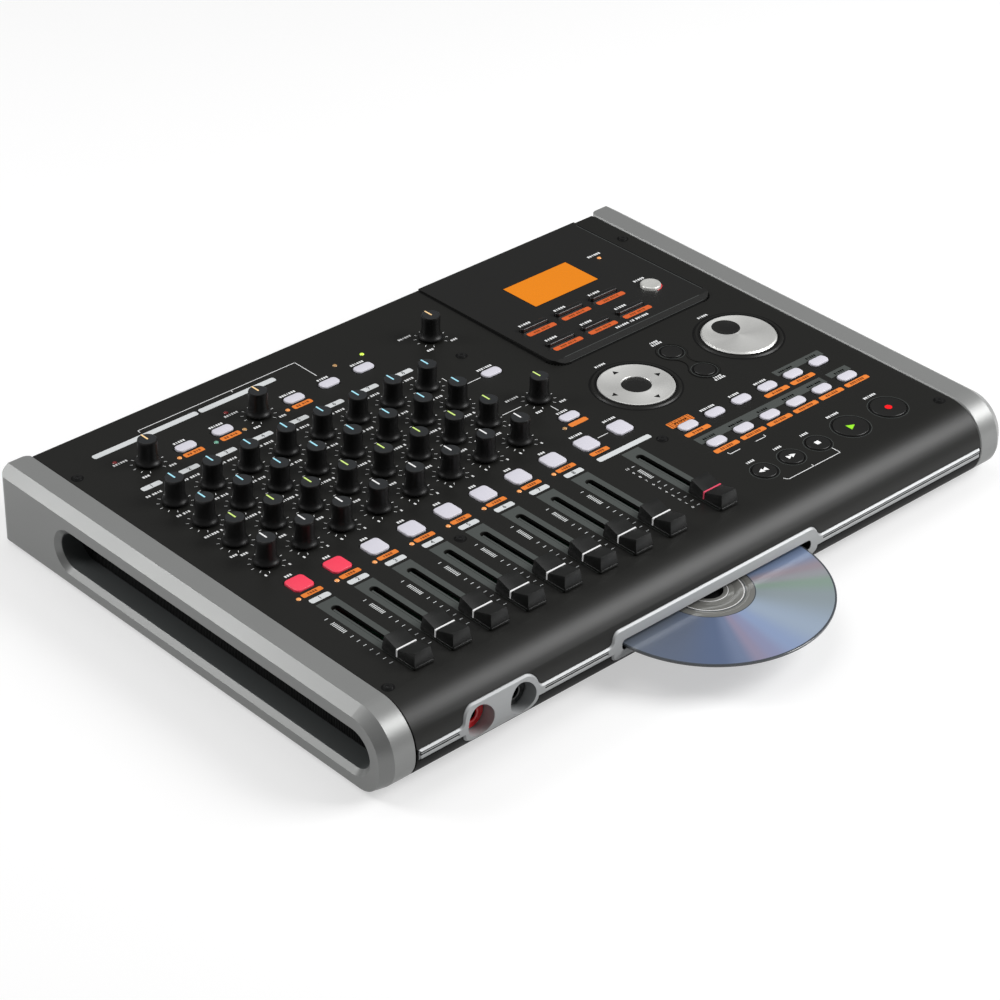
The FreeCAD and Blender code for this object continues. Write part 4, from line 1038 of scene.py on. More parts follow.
def prism(sides: int, radius: float, low: float, high: float, squash: float = 1.0) -> Shape:
    """An upright prism about the origin, such as a dot or an arrow head.

    Args:
        sides: Its number of sides; 3 gives an arrow head that points along +Y.
        radius: The radius of its corners, in millimetres.
        low: The height of its underside.
        high: The height of its top.
        squash: The share of its width that it keeps along X.

    Returns:
        The shape, in metres.
    """
    part = bmesh.new()
    bmesh.ops.create_circle(part, cap_ends=True, segments=sides, radius=radius * MM)
    if sides == 4:
        bmesh.ops.rotate(part, verts=part.verts, cent=(0, 0, 0), matrix=Matrix.Rotation(math.pi / 4, 3, "Z"))
    bmesh.ops.scale(part, verts=part.verts, vec=(squash, 1, 1))
    bmesh.ops.translate(part, verts=part.verts, vec=(0, 0, low * MM))
    push(part, part.faces[:], Vector((0, 0, (high - low) * MM)))
    return closed(part)


def ring_slab(
    width: float,
    length: float,
    hole_width: float,
    hole_length: float,
    low: float,
    high: float,
    hole_y: float = 0.0,
) -> Shape:
    """A thin plate about the origin with a long round-ended hole.

    Args:
        width: Its size along X, in millimetres.
        length: Its size along Y.
        hole_width: The hole's width.
        hole_length: The hole's length over its round ends.
        low: The height of its underside.
        high: The height of its top.
        hole_y: How far the hole's middle lies behind the plate's.

    Returns:
        The shape, in metres.
    """
    part = bmesh.new()
    rectangle(part, width, length, low)
    bmesh.ops.delete(part, geom=part.faces[:], context="FACES_ONLY")
    hole = rectangle(part, hole_width, hole_length, low, hole_y)
    soften(part, hole, ROUND_END * hole_width, HOLE_STEPS, "VERTICES")
    bmesh.ops.delete(part, geom=part.faces[:], context="FACES_ONLY")
    bmesh.ops.triangle_fill(part, edges=part.edges[:], use_beauty=True, use_dissolve=False)
    push(part, part.faces[:], Vector((0, 0, (high - low) * MM)))
    return closed(part)


def stroke(points: Sequence[Pair], width: float, low: float, high: float) -> Shape:
    """A printed line through points on the deck.

    Args:
        points: Pairs of X and Y in millimetres on the deck.
        width: The line's width.
        low: The height of its underside above the panel.
        high: The height of its top.

    Returns:
        The shape, in metres in the frame.
    """
    line = bmesh.new()
    for (x0, y0), (x1, y1) in zip(points, points[1:]):
        length = math.hypot(x1 - x0, y1 - y0) + width
        piece = slab(length, width, low, high)
        turn = math.degrees(math.atan2(y1 - y0, x1 - x0))
        piece.transform(placed((x0 + x1) / 2, (y0 + y1) / 2, 0, turn))
        take_in(line, piece)
    return line


def digits(text: str, size: float, low: float, high: float) -> Shape:
    """Plain numbers about the origin, read from the front.

    Args:
        text: The number.
        size: The size of the type, in millimetres.
        low: The height of its underside.
        high: The height of its top.

    Returns:
        The shape, in metres.
    """
    curve = bpy.data.curves.new("number", "FONT")
    curve.body = text
    curve.size = size * MM
    curve.align_x = "CENTER"
    curve.align_y = "CENTER"
    curve.resolution_u = 2
    curve.extrude = (high - low) / 2 * MM
    holder = bpy.data.objects.new("number", curve)
    mesh = bpy.data.meshes.new_from_object(holder)
    part = bmesh.new()
    part.from_mesh(mesh)
    bmesh.ops.translate(part, verts=part.verts, vec=(0, 0, (high + low) / 2 * MM))
    bpy.data.objects.remove(holder)
    bpy.data.curves.remove(curve)
    bpy.data.meshes.remove(mesh)
    return closed(part)


def mark_words(
    form: "Form",
    x: float,
    y: float,
    words: Sequence[int],
    finish: Finish,
    height: float = 1.5,
    lift: float = 0.0,
    lean: Matrix = IN_PLACE[0],
) -> None:
    """Print rows of small plain blocks where the real panel has words.

    Args:
        form: The piece that holds the print.
        x: The middle of the row on the deck.
        y: The same, behind the front face.
        words: The number of blocks in each word.
        finish: The ink.
        height: The size of a block along Y, in millimetres.
        lift: The height of the surface above the panel.
        lean: The turn of the surface that carries them.
    """
    pitch = 0.95 * height
    space = 0.6 * height
    length = sum(words) * pitch + (len(words) - 1) * space
    start = x - length / 2 + pitch / 2
    wide = []
    narrow = []
    for order, count in enumerate(words):
        for letter in range(count):
            seat = placed(start + letter * pitch, y, lift) @ lean
            (narrow if (letter * 3 + order * 2 + count) % 4 == 0 else wide).append(seat)
        start += count * pitch + space
    for width, seats in ((0.64, wide), (0.34, narrow)):
        if seats:
            form.add(slab(width * height, height, -INK_SINK, INK_THICK), finish, seats)


def cad_copy(node: str) -> Shape:
    """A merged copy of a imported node's mesh.

    Args:
        node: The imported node.

    Returns:
        The shape, in metres.
    """
    part = bmesh.new()
    part.from_mesh(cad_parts[node].data)
    bmesh.ops.remove_doubles(part, verts=part.verts, dist=MERGE_DISTANCE)
    return part


def linked(name: str, data: bpy.types.ID) -> bpy.types.Object:
    """A new object in the scene.

    Args:
        name: Its name.
        data: Its mesh, light or camera.

    Returns:
        The object.
    """
    made = bpy.data.objects.new(name, data)
    bpy.context.scene.collection.objects.link(made)
    return made


class Form:
    """A piece in the making: one mesh and the finishes on it."""

    def __init__(self, name: str) -> None:
        """Start an empty piece.

        Args:
            name: Its final name.
        """
        self.name = name
        self.mesh = bmesh.new()
        self.materials: list[bpy.types.Material] = []

    def add(self, part: Shape, finish: Finish, places: Iterable[Matrix] = IN_PLACE) -> None:
        """Add a shape once at each place.

        Args:
            part: The shape, which is used up.
            finish: The finish of its faces.
            places: Where its copies go.
        """
        material = finish.material()
        if material not in self.materials:
            self.materials.append(material)
        number = self.materials.index(material)
        for face in part.faces:
            face.material_index = number
        for place in places:
            copy = part.copy()
            copy.transform(place)
            take_in(self.mesh, copy)
        part.free()

    def build(self, body: str, slot: Slot, replaces: Sequence[str] = ()) -> bpy.types.Object:
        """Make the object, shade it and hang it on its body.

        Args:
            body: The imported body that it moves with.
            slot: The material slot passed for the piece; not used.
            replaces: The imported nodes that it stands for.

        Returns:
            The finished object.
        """
        for line in self.mesh.edges:
            line.smooth = line.calc_face_angle(math.pi) < SHARP_ANGLE
        for face in self.mesh.faces:
            face.smooth = True
        mesh = bpy.data.meshes.new(self.name)
        for material in self.materials:
            mesh.materials.append(material)
        self.mesh.to_mesh(mesh)
        self.mesh.free()
        made = linked(self.name, mesh)
        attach(made, body)
        if replaces:
            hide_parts(*replaces)
        LOG.info("%s: %d faces on %s", self.name, len(mesh.polygons), body)
        return made


def dress(node: str, finish: Finish) -> None:
    """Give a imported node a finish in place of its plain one.

    Args:
        node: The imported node.
        finish: The finish.
    """
    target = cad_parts[node]
    target.data.materials.clear()
    target.data.materials.append(finish.material())
    LOG.info("%s: dressed in %s", node, finish.name)


# The studio


@dataclass
class Studio:
    """The floor, the lights and the camera."""

    camera_place: tuple[float, float, float] = (-924.22, -944.98, 870.59)
    camera_right: tuple[float, float, float] = (0.7343, -0.6786, 0.0150)
    camera_up: tuple[float, float, float] = (0.3593, 0.4074, 0.8396)
    camera_back: tuple[float, float, float] = (-0.5759, -0.6112, 0.5430)
    lens: float = 117.26
    sensor: float = 36.0
    sight: float = 100.0
    floor_density: float = 3.0
    floor_shade: float = 0.98
    floor_gloss: float = 0.9
    floor_specular: float = 0.1
    floor_half: float = 30000.0
    floor_paint: str = "#c4c4c4"
    floor_bounce: str = "#666666"
    floor_lift: float = 0.5
    fill: float = 0.15
    lamps: tuple[tuple[str, tuple[float, float, float], Pair, float], ...] = (
        ("top_softbox", (-150.0, 300.0, 1500.0), (1400.0, 1000.0), 6.5),
        ("roll_softbox", (920.0, -820.0, 1010.0), (820.0, 760.0), 21.0),
        ("rear_softbox", (-870.0, 980.0, 920.0), (520.0, 380.0), 7.0),
    )

    def build(self) -> None:
        """Make the whole studio."""
        self.build_floor()
        self.build_world()
        self.build_lamps()
        self.build_camera()

    def build_floor(self) -> None:
        """A pale floor that the lens sees as white where no shadow falls."""
        part = bmesh.new()
        bmesh.ops.create_grid(part, x_segments=1, y_segments=1, size=self.floor_half * MM)
        mesh = bpy.data.meshes.new("studio_floor")
        part.to_mesh(mesh)
        part.free()
        floor = linked("studio_floor", mesh)
        material = bpy.data.materials.new("studio_floor")
        material.use_nodes = True
        graph = Graph(material.node_tree)
        shader = material.node_tree.nodes["Principled BSDF"]
        noise = graph.node("TexNoise")
        noise.inputs["Scale"].default_value = self.floor_density
        graph.join(graph.node("TexCoord").outputs["Object"], noise.inputs["Vector"])
        paint = linear(self.floor_paint)
        shade = [share * self.floor_shade for share in paint[:3]] + [1.0]
        seen = self.seen(graph)
        colour = graph.mix(seen, linear(self.floor_bounce), graph.mix(noise.outputs[0], paint, shade))
        graph.join(colour, shader.inputs["Base Color"])
        shader.inputs["Emission Color"].default_value = (1.0, 1.0, 1.0, 1.0)
        graph.join(graph.maths("MULTIPLY", seen, self.floor_lift), shader.inputs["Emission Strength"])
        shader.inputs["Roughness"].default_value = self.floor_gloss
        shader.inputs["Specular IOR Level"].default_value = self.floor_specular
        mesh.materials.append(material)

    def seen(self, graph: Graph) -> Socket:
        """One for rays that show the background: the lens's, mirrored and passing ones.

        Args:
            graph: The floor's graph.

        Returns:
            The socket, which is 0 for all other rays.
        """
        path = graph.node("LightPath")
        mirrored = graph.maths("MAXIMUM", path.outputs["Is Glossy Ray"], path.outputs["Is Transmission Ray"])
        return graph.maths("MAXIMUM", path.outputs["Is Camera Ray"], mirrored)

    def build_world(self) -> None:
        """A plain soft grey from every side."""
        world = bpy.data.worlds.new("studio")
        bpy.context.scene.world = world
        world.use_nodes = True
        graph = Graph(world.node_tree)
        world.node_tree.nodes.clear()
        soft = graph.node("Background")
        soft.inputs[0].default_value = (1.0, 1.0, 1.0, 1.0)
        soft.inputs[1].default_value = self.fill
        graph.join(soft.outputs[0], graph.node("OutputWorld").inputs[0])

    def build_lamps(self) -> None:
        """Large soft lamps that all face the recorder."""
        for name, place, size, power in self.lamps:
            data = bpy.data.lights.new(name, "AREA")
            data.shape = "RECTANGLE"
            data.size = size[0] * MM
            data.size_y = size[1] * MM
            data.energy = power
            lamp = linked(name, data)
            lamp.location = Vector(place) * MM
            lamp.rotation_euler = (-lamp.location).to_track_quat("-Z", "Y").to_euler()

    def build_camera(self) -> None:
        """The camera at the place and angle that match the view."""
        data = bpy.data.cameras.new("camera")
        data.sensor_width = self.sensor
        data.lens = self.lens
        data.clip_end = self.sight
        camera = linked("camera", data)
        turned = Matrix((self.camera_right, self.camera_up, self.camera_back)).transposed()
        camera.matrix_world = Matrix.Translation(Vector(self.camera_place) * MM) @ turned.to_4x4()
        bpy.context.scene.camera = camera
        bpy.context.scene.view_settings.view_transform = "Standard"


# The recorder


@dataclass
class Casing:
    """The panel, the tray, the cheeks, the front moulding and the hardware."""

    recess_inset: float = 2.55
    recess_front: float = 9.6
    recess_rear: float = 236.5
    recess_top: float = -9.2
    recess_bottom: float = -33.4
    throat_depth: float = 2.6
    recess_depth: float = 14.55
    liner_wall: float = 0.4
    rib_pitch: float = 1.1
    rib_width: float = 0.55
    rib_depth: float = 0.8
    rib_least: float = 0.3
    back_gap: float = 0.45
    back_step: float = 0.1
    round_steps: int = 12
    screw_lift: float = 0.02
    screw_surround: Pair = (2.4, 3.1)
    screw_socket_shade: tuple[float, float, float] = (0.85, 0.8, 0.98)
    screw_places: Points = (
        (-181.3, 24.2), (-181.3, 247.2), (180.0, 24.2), (180.0, 247.2),
        (-80.3, 89.3), (51.5, 89.3), (31.85, 212.3),
    )
    screw_section: Points = (
        (0, 0.95), (0.9, 0.93), (1.5, 0.8), (2.0, 0.52), (2.35, 0.12), (2.35, 0.0), (0, 0),
    )

    def build(self) -> None:
        """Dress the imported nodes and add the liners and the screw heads."""
        for node, finish in (
            ("top_panel", Paint.PANEL),
            ("bottom_tray", Paint.TRAY),
            ("left_cheek", Paint.CHEEK),
            ("right_cheek", Paint.CHEEK),
            ("front_trim", Paint.TRIM),
            ("feet", Paint.RUBBER),
            ("case_screws", Paint.SCREW),
            ("main_board", Paint.BOARD),
            ("rotary_pots", Paint.STEEL),
            ("fader_bodies", Paint.GROOVE_AND_SHADE),
            ("slot_drive", Paint.GROOVE_AND_SHADE),
            ("rear_sockets", Paint.SOCKET),
        ):
            dress(node, finish)
        for side, name in ((-1, "left"), (1, "right")):
            self.build_liner(side, name)
        self.build_screws()

    def build_liner(self, side: int, name: str) -> None:
        """The dark liner of a grip recess, with a darker sheet and fine ribs on its back wall that carry
        painted shade.

        Args:
            side: -1 for the left cheek and 1 for the right one.
            name: The side's name.
        """
        outer = node_box(name + "_cheek")[0 if side < 0 else 1].x / MM
        height = self.recess_top - self.recess_bottom - 2 * self.recess_inset
        length = self.recess_rear - self.recess_front - 2 * self.recess_inset
        form = Form(name + "_grip_liner")
        shell = slab(
            height, length, 0, self.recess_depth - self.throat_depth, corner=height / 2,
            corner_steps=self.round_steps,
        )
        mouth = [face for face in shell.faces if face.calc_center_median().z < MERGE_DISTANCE]
        bmesh.ops.delete(shell, geom=mouth, context="FACES")
        bmesh.ops.recalc_face_normals(shell, faces=shell.faces)
        bmesh.ops.reverse_faces(shell, faces=shell.faces)
        bmesh.ops.solidify(shell, geom=shell.faces[:], thickness=-self.liner_wall * MM)
        bmesh.ops.recalc_face_normals(shell, faces=shell.faces)
        middle_y = (self.recess_front + self.recess_rear) / 2
        middle_z = (self.recess_top + self.recess_bottom) / 2
        inwards = Matrix.Rotation(-side * math.pi / 2, 4, "Y")
        seat = Matrix.Translation(DECK.at(outer - side * self.throat_depth, middle_y, middle_z)) @ inwards
        form.add(shell, Paint.LINER, [seat])
        # The back wall's dark sheet and its ribs carry painted shade.
        back_x = outer - side * (self.recess_depth - self.liner_wall - self.rib_depth / 2)
        back = slab(
            height - 2 * self.back_gap, length - 2 * self.back_gap, 0, self.liner_wall,
            corner=height / 2 - self.back_gap, corner_steps=self.round_steps,
        )
        depth = self.recess_depth - self.liner_wall - self.back_step
        seat = Matrix.Translation(DECK.at(outer - side * depth, middle_y, middle_z)) @ inwards
        form.add(back, Paint.LINER_SHADE, [seat])
        count = int(length / self.rib_pitch)
        for number in range(count):
            along = (number + 0.5 - count / 2) * self.rib_pitch
            reach = self.rib_reach(along, length, height)
            rib = slab(self.rib_depth, self.rib_width, -reach, reach)
            form.add(rib, Paint.LINER_SHADE, [Matrix.Translation(DECK.at(back_x, middle_y + along, middle_z))])
        form.build("housing", Slot.TRAY)

    def rib_reach(self, along: float, length: float, height: float) -> float:
        """Half the height of a rib where the recess has its round ends.

        Args:
            along: The rib's distance from the middle of the recess.
            length: The recess's length.
            height: The recess's height.

        Returns:
            Half the rib's height.
        """
        radius = height / 2 - self.liner_wall
        past = abs(along) - (length / 2 - height / 2)
        if past <= 0:
            return radius
        return math.sqrt(max(radius ** 2 - past ** 2, self.rib_least))

    def build_screws(self) -> None:
        """Pan heads over the panel's screws, with a dark ring round each and the shade of its socket painted
        as a dark hexagon on top.
        """
        form = Form("panel_screw_heads")
        places = [placed(x, y, self.screw_lift) for x, y in self.screw_places]
        form.add(lathe(self.screw_section, Steps.SMALL), Paint.SCREW, places)
        form.add(lathe(band(*self.screw_surround, -INK_SINK, INK_THICK), Steps.SMALL), Paint.GROOVE_AND_SHADE, places)
        # Painted shade: a dark hexagon stands for the shaded socket.
        form.add(prism(6, *self.screw_socket_shade), Paint.GROOVE_AND_SHADE, places)
        form.build("housing", Slot.STEEL)


@dataclass
class Knob:
    """A tall knob with a flared skirt and a pointer line on its top."""

    section: Points = (
        (0, 1.0), (6.1, 1.0), (6.35, 1.12), (6.4, 1.35), (6.38, 1.75), (6.2, 2.1), (5.8, 2.6), (5.4, 3.2),
        (5.12, 3.9), (4.94, 4.8), (4.84, 6.0), (4.8, 7.6), (4.8, 9.0), (4.83, 10.6), (4.87, 12.4),
        (4.85, 13.2), (4.7, 13.7), (4.4, 13.88),
    )
    top_section: Points = ((4.0, 13.8), (2.0, 13.74), (0, 13.73))
    cap_section: Points = (
        (4.4, 13.89), (4.0, 13.84), (2.0, 13.78), (0, 13.77), (0, 13.4), (4.4, 13.4),
    )
    pointer_length: float = 5.3
    pointer_width: float = 0.8
    pointer_middle: float = 2.15
    pointer_heights: Pair = (13.5, 13.9)
    pointer_corner: float = 0.2
    steps: int = Steps.KNOB

    def add(self, form: Form, x: float, y: float, mark: Finish) -> None:
        """Add one knob to a piece.

        Args:
            form: The piece.
            x: Where the knob stands on the deck.
            y: The same, behind the front face.
            mark: The finish of its pointer line.
        """
        form.add(lathe(self.section + self.top_section, self.steps), Paint.KNOB_SIDE, [placed(x, y)])
        form.add(lathe(self.cap_section, self.steps), Paint.KNOB_TOP, [placed(x, y)])
        line = slab(
            self.pointer_width, self.pointer_length, *self.pointer_heights,
            corner=self.pointer_corner, corner_steps=2,
        )
        form.add(line, mark, [placed(x, y + self.pointer_middle)])

    def piece(
        self, name: str, body: str, nodes: Sequence[str], knobs: Sequence[tuple[float, float, Finish]],
    ) -> None:
        """Build a piece of one or more knobs.

        Args:
            name: The piece's name.
            body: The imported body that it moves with.
            nodes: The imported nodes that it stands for.
            knobs: The place and the pointer's finish of each knob.
        """
        form = Form(name)
        for x, y, mark in knobs:
            self.add(form, x, y, mark)
        form.build(body, Slot.KNOB, nodes)


@dataclass
class KnobField:
    """All knobs with the tick rings printed round them."""

    knob: Knob = field(default_factory=Knob)
    tick_inner: float = 7.4
    tick_outer: float = 8.9
    tick_width: float = 0.3
    tick_count: int = 11
    tick_step: float = 30.0
    row_marks: tuple[Finish, ...] = (Paint.MARK_BLUE, Paint.MARK_BLUE, Paint.MARK_GREEN, Paint.MARK_WHITE)

    def build(self) -> None:
        """Build every knob and the ticks."""
        places = []
        joined = []
        for channel in range(CHANNELS):
            x = DECK.column(channel)
            for row, mark in zip(KNOB_ROWS, self.row_marks):
                y = DECK.row(row)
                places.append((x, y))
                if channel < TURNING_CHANNELS:
                    node = "channel_%d_%s_knob" % (channel + 1, row)
                    self.knob.piece(node + "_dressed", node, (node,), ((x, y, mark),))
                else:
                    joined.append((x, y, mark))
        self.knob.piece("channel_5_to_8_knobs_dressed", "housing", ("channel_5_to_8_knobs",), joined)
        for node in LEVEL_KNOBS:
            mark = Paint.MARK_GREEN if node == "effect_return_knob" else Paint.MARK_AMBER
            x, y = DECK.middle(node)
            places.append((x, y))
            self.knob.piece(node + "_dressed", node, (node,), ((x, y, mark),))
        self.build_ticks(places)

    def build_ticks(self, places: Sequence[Pair]) -> None:
        """Print the ring of ticks round each knob.

        Args:
            places: The knobs' places on the deck.
        """
        form = Form("knob_tick_rings")
        seats = []
        middle = (self.tick_inner + self.tick_outer) / 2
        for x, y in places:
            for number in range(self.tick_count):
                turn = (number - (self.tick_count - 1) / 2) * self.tick_step
                angle = math.radians(turn)
                seats.append(placed(x - middle * math.sin(angle), y + middle * math.cos(angle), 0, turn))
        tick = slab(self.tick_width, self.tick_outer - self.tick_inner, -INK_SINK, INK_THICK)
        form.add(tick, Paint.INK_LEGEND, seats)
        form.build("housing", Slot.PANEL)


@dataclass
class Faders:
    """The fader caps, their lines, the printed lanes, the rails and the scales."""

    lane_width: float = 11.3
    lane_front: float = 27.0
    lane_rear: float = 92.0
    slot_width: float = 4.6
    slot_front: float = 30.8
    slot_rear: float = 86.9
    rail_width: float = 1.1
    rail_side: float = 1.4
    foot: Pair = (11.7, 22.0)
    foot_heights: Pair = (0.65, 1.75)
    foot_corner: float = 0.9
    foot_edge: float = 0.25
    foot_shift: float = -0.8
    flat_turn: float = 1.0
    seam_inset: Pair = (0.35, 0.3)
    seam_heights: Pair = (1.7, 1.98)
    tick_x: float = 8.9
    tick_length: float = 1.9
    tick_width: float = 0.36
    tick_rear: float = 80.7
    tick_pitch: float = 4.37
    tick_count: int = 11
    block_ticks: tuple[int, ...] = (1, 2, 3)
    block_width: float = 2.4
    block_front: float = 67.4
    block_rear: float = 76.9
    stripe_count: int = 9
    stripe_width: float = 0.35
    stripe_heights: Pair = (0.04, 0.07)
    number_x: float = 12.6
    number_size: float = 2.3
    cap_valley: float = 5.2
    valley_share: float = 11.6 / 21.6
    cap_edge: float = 0.35
    line_width: float = 0.75
    line_drop: float = 3.6
    line_sink: float = 0.3
    line_lift: float = 0.35
    line_inset: float = 0.25
    side_x: float = 5.75
    rail_ends: float = 2.5
    rail_heights: Pair = (-0.5, -0.12)

    def build(self) -> None:
        """Build the caps and everything printed round them."""
        columns = [float(channel) for channel in range(CHANNELS)] + [MASTER_COLUMN]
        nodes = ["channel_%d_fader" % (channel + 1) for channel in range(CHANNELS)] + ["master_fader"]
        for node, column in zip(nodes, columns):
            mark = Paint.MARK_RED if node == "master_fader" else Paint.MARK_WHITE
            self.build_cap(node, column, mark)
        self.build_lanes(columns)
        self.build_scales(columns)

    def build_cap(self, node: str, column: float, mark: Finish) -> None:
        """One cap with softened edges and the line in its valley.

        Args:
            node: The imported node.
            column: Its column on the deck.
            mark: The finish of the line.
        """
        form = Form(node + "_dressed")
        cap = cad_copy(node)
        limit = math.radians(self.flat_turn)
        bmesh.ops.dissolve_limit(cap, angle_limit=limit, verts=cap.verts[:], edges=cap.edges[:])
        crisp = [line for line in cap.edges if line.calc_face_angle(0.0) > SHARP_ANGLE / 2]
        above = [line for line in crisp if min(end.co.z for end in line.verts) > DECK.top_z]
        soften(cap, above, self.cap_edge, 2, "EDGES")
        form.add(closed(cap), Paint.CAP)
        x = DECK.column(column)
        y = self.valley_y(node)
        valley = self.cap_valley
        across = slab(
            2 * (self.side_x - self.line_inset), self.line_width,
            valley - self.line_sink, valley + self.line_lift,
        )
        form.add(across, mark, [placed(x, y)])
        down = slab(self.line_sink, self.line_width, valley - self.line_drop, valley + self.line_sink)
        form.add(down, mark, [placed(x - self.side_x - INK_SINK, y)])
        width, length = self.foot
        middle = y + self.foot_shift
        foot = slab(width, length, *self.foot_heights, self.foot_corner, self.foot_edge, corner_steps=3)
        form.add(foot, Paint.CAP, [placed(x, middle)])
        seam = slab(width - self.seam_inset[0], length - self.seam_inset[1], *self.seam_heights)
        form.add(seam, Paint.GROOVE_AND_SHADE, [placed(x, middle)])
        form.build(node, Slot.CAP, (node,))

    def valley_y(self, node: str) -> float:
        """Where the valley of a cap is, from its box and the share in front of the valley.

        Args:
            node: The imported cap.

        Returns:
            Its place behind the front face, in millimetres.
        """
        low, high = node_box(node)
        return (low.y + (high.y - low.y) * self.valley_share - DECK.front_y) / MM

    def build_lanes(self, columns: Sequence[float]) -> None:
        """The grey lanes printed under the caps and the rails in the slots.

        Args:
            columns: The columns that hold a fader.
        """
        form = Form("fader_lanes")
        middle = (self.lane_front + self.lane_rear) / 2
        slot_middle = (self.slot_front + self.slot_rear) / 2
        lane = ring_slab(
            self.lane_width,
            self.lane_rear - self.lane_front,
            self.slot_width,
            self.slot_rear - self.slot_front,
            -INK_SINK,
            INK_THICK,
            hole_y=slot_middle - middle,
        )
        form.add(lane, Paint.GREY_INK_AND_HIGHLIGHT, [placed(DECK.column(column), middle) for column in columns])
        form.build("housing", Slot.PANEL)
        rails = Form("fader_rails")
        length = self.slot_rear - self.slot_front - 2 * self.rail_ends
        seats = [placed(DECK.column(column) - self.rail_side, slot_middle) for column in columns]
        rails.add(slab(self.rail_width, length, *self.rail_heights), Paint.GREY_INK_AND_HIGHLIGHT, seats)
        rails.build("housing", Slot.PANEL)

    def build_scales(self, columns: Sequence[float]) -> None:
        """The ticks beside each lane and the numbers of the master scale.

        Args:
            columns: The columns that hold a fader.
        """
        form = Form("fader_scales")
        ticks = []
        blocks = []
        stripes = []
        block_length = self.block_rear - self.block_front
        for column in columns:
            x = DECK.column(column) - self.tick_x
            for number in range(self.tick_count):
                if number not in self.block_ticks:
                    ticks.append(placed(x, self.tick_rear - number * self.tick_pitch))
            blocks.append(placed(x, (self.block_front + self.block_rear) / 2))
            for number in range(self.stripe_count):
                y = self.block_front + (number + 0.5) * block_length / self.stripe_count
                stripes.append(placed(x, y))
        form.add(slab(self.tick_length, self.tick_width, -INK_SINK, INK_THICK), Paint.INK_WHITE, ticks)
        form.add(slab(self.block_width, block_length, -INK_SINK, INK_THICK), Paint.GREY_INK_AND_HIGHLIGHT, blocks)
        form.add(slab(self.block_width, self.stripe_width, *self.stripe_heights), Paint.INK_LEGEND, stripes)
        x = DECK.column(MASTER_COLUMN) - self.number_x
        for number in range(self.tick_count):
            label = digits(str(self.tick_count - 1 - number), self.number_size, -INK_SINK, INK_THICK)
            form.add(label, Paint.INK_LEGEND, [placed(x, self.tick_rear - number * self.tick_pitch)])
        form.build("housing", Slot.PANEL)


@dataclass(frozen=True)
class Sign:
    """One prism of a key's symbol: its shape, its place on the key and its ink."""

    sides: int
    radius: float
    squash: float
    x: float
    y: float
    turn: float = 0.0
    finish: Finish = Paint.MARK_WHITE


ROUND_KEYS: dict[str, tuple[Sign, ...]] = {
    "rewind_key": tuple(Sign(3, 2.0, 0.9, x, 0.6, 90.0) for x in (-1.25, 1.25)),
    "forward_key": tuple(Sign(3, 2.0, 0.9, x, 0.6, -90.0) for x in (-1.25, 1.25)),
    "stop_key": (Sign(4, 1.9, 1.0, 0.0, 0.4),),
    "play_key": (Sign(3, 2.9, 0.9, -0.4, -0.3, -90.0, Paint.ICON_GREEN),),
    "record_key": (Sign(24, 1.9, 1.0, 0.0, -0.2, 0.0, Paint.ICON_RED),),
    "yes_key": (),
    "no_key": (),
}


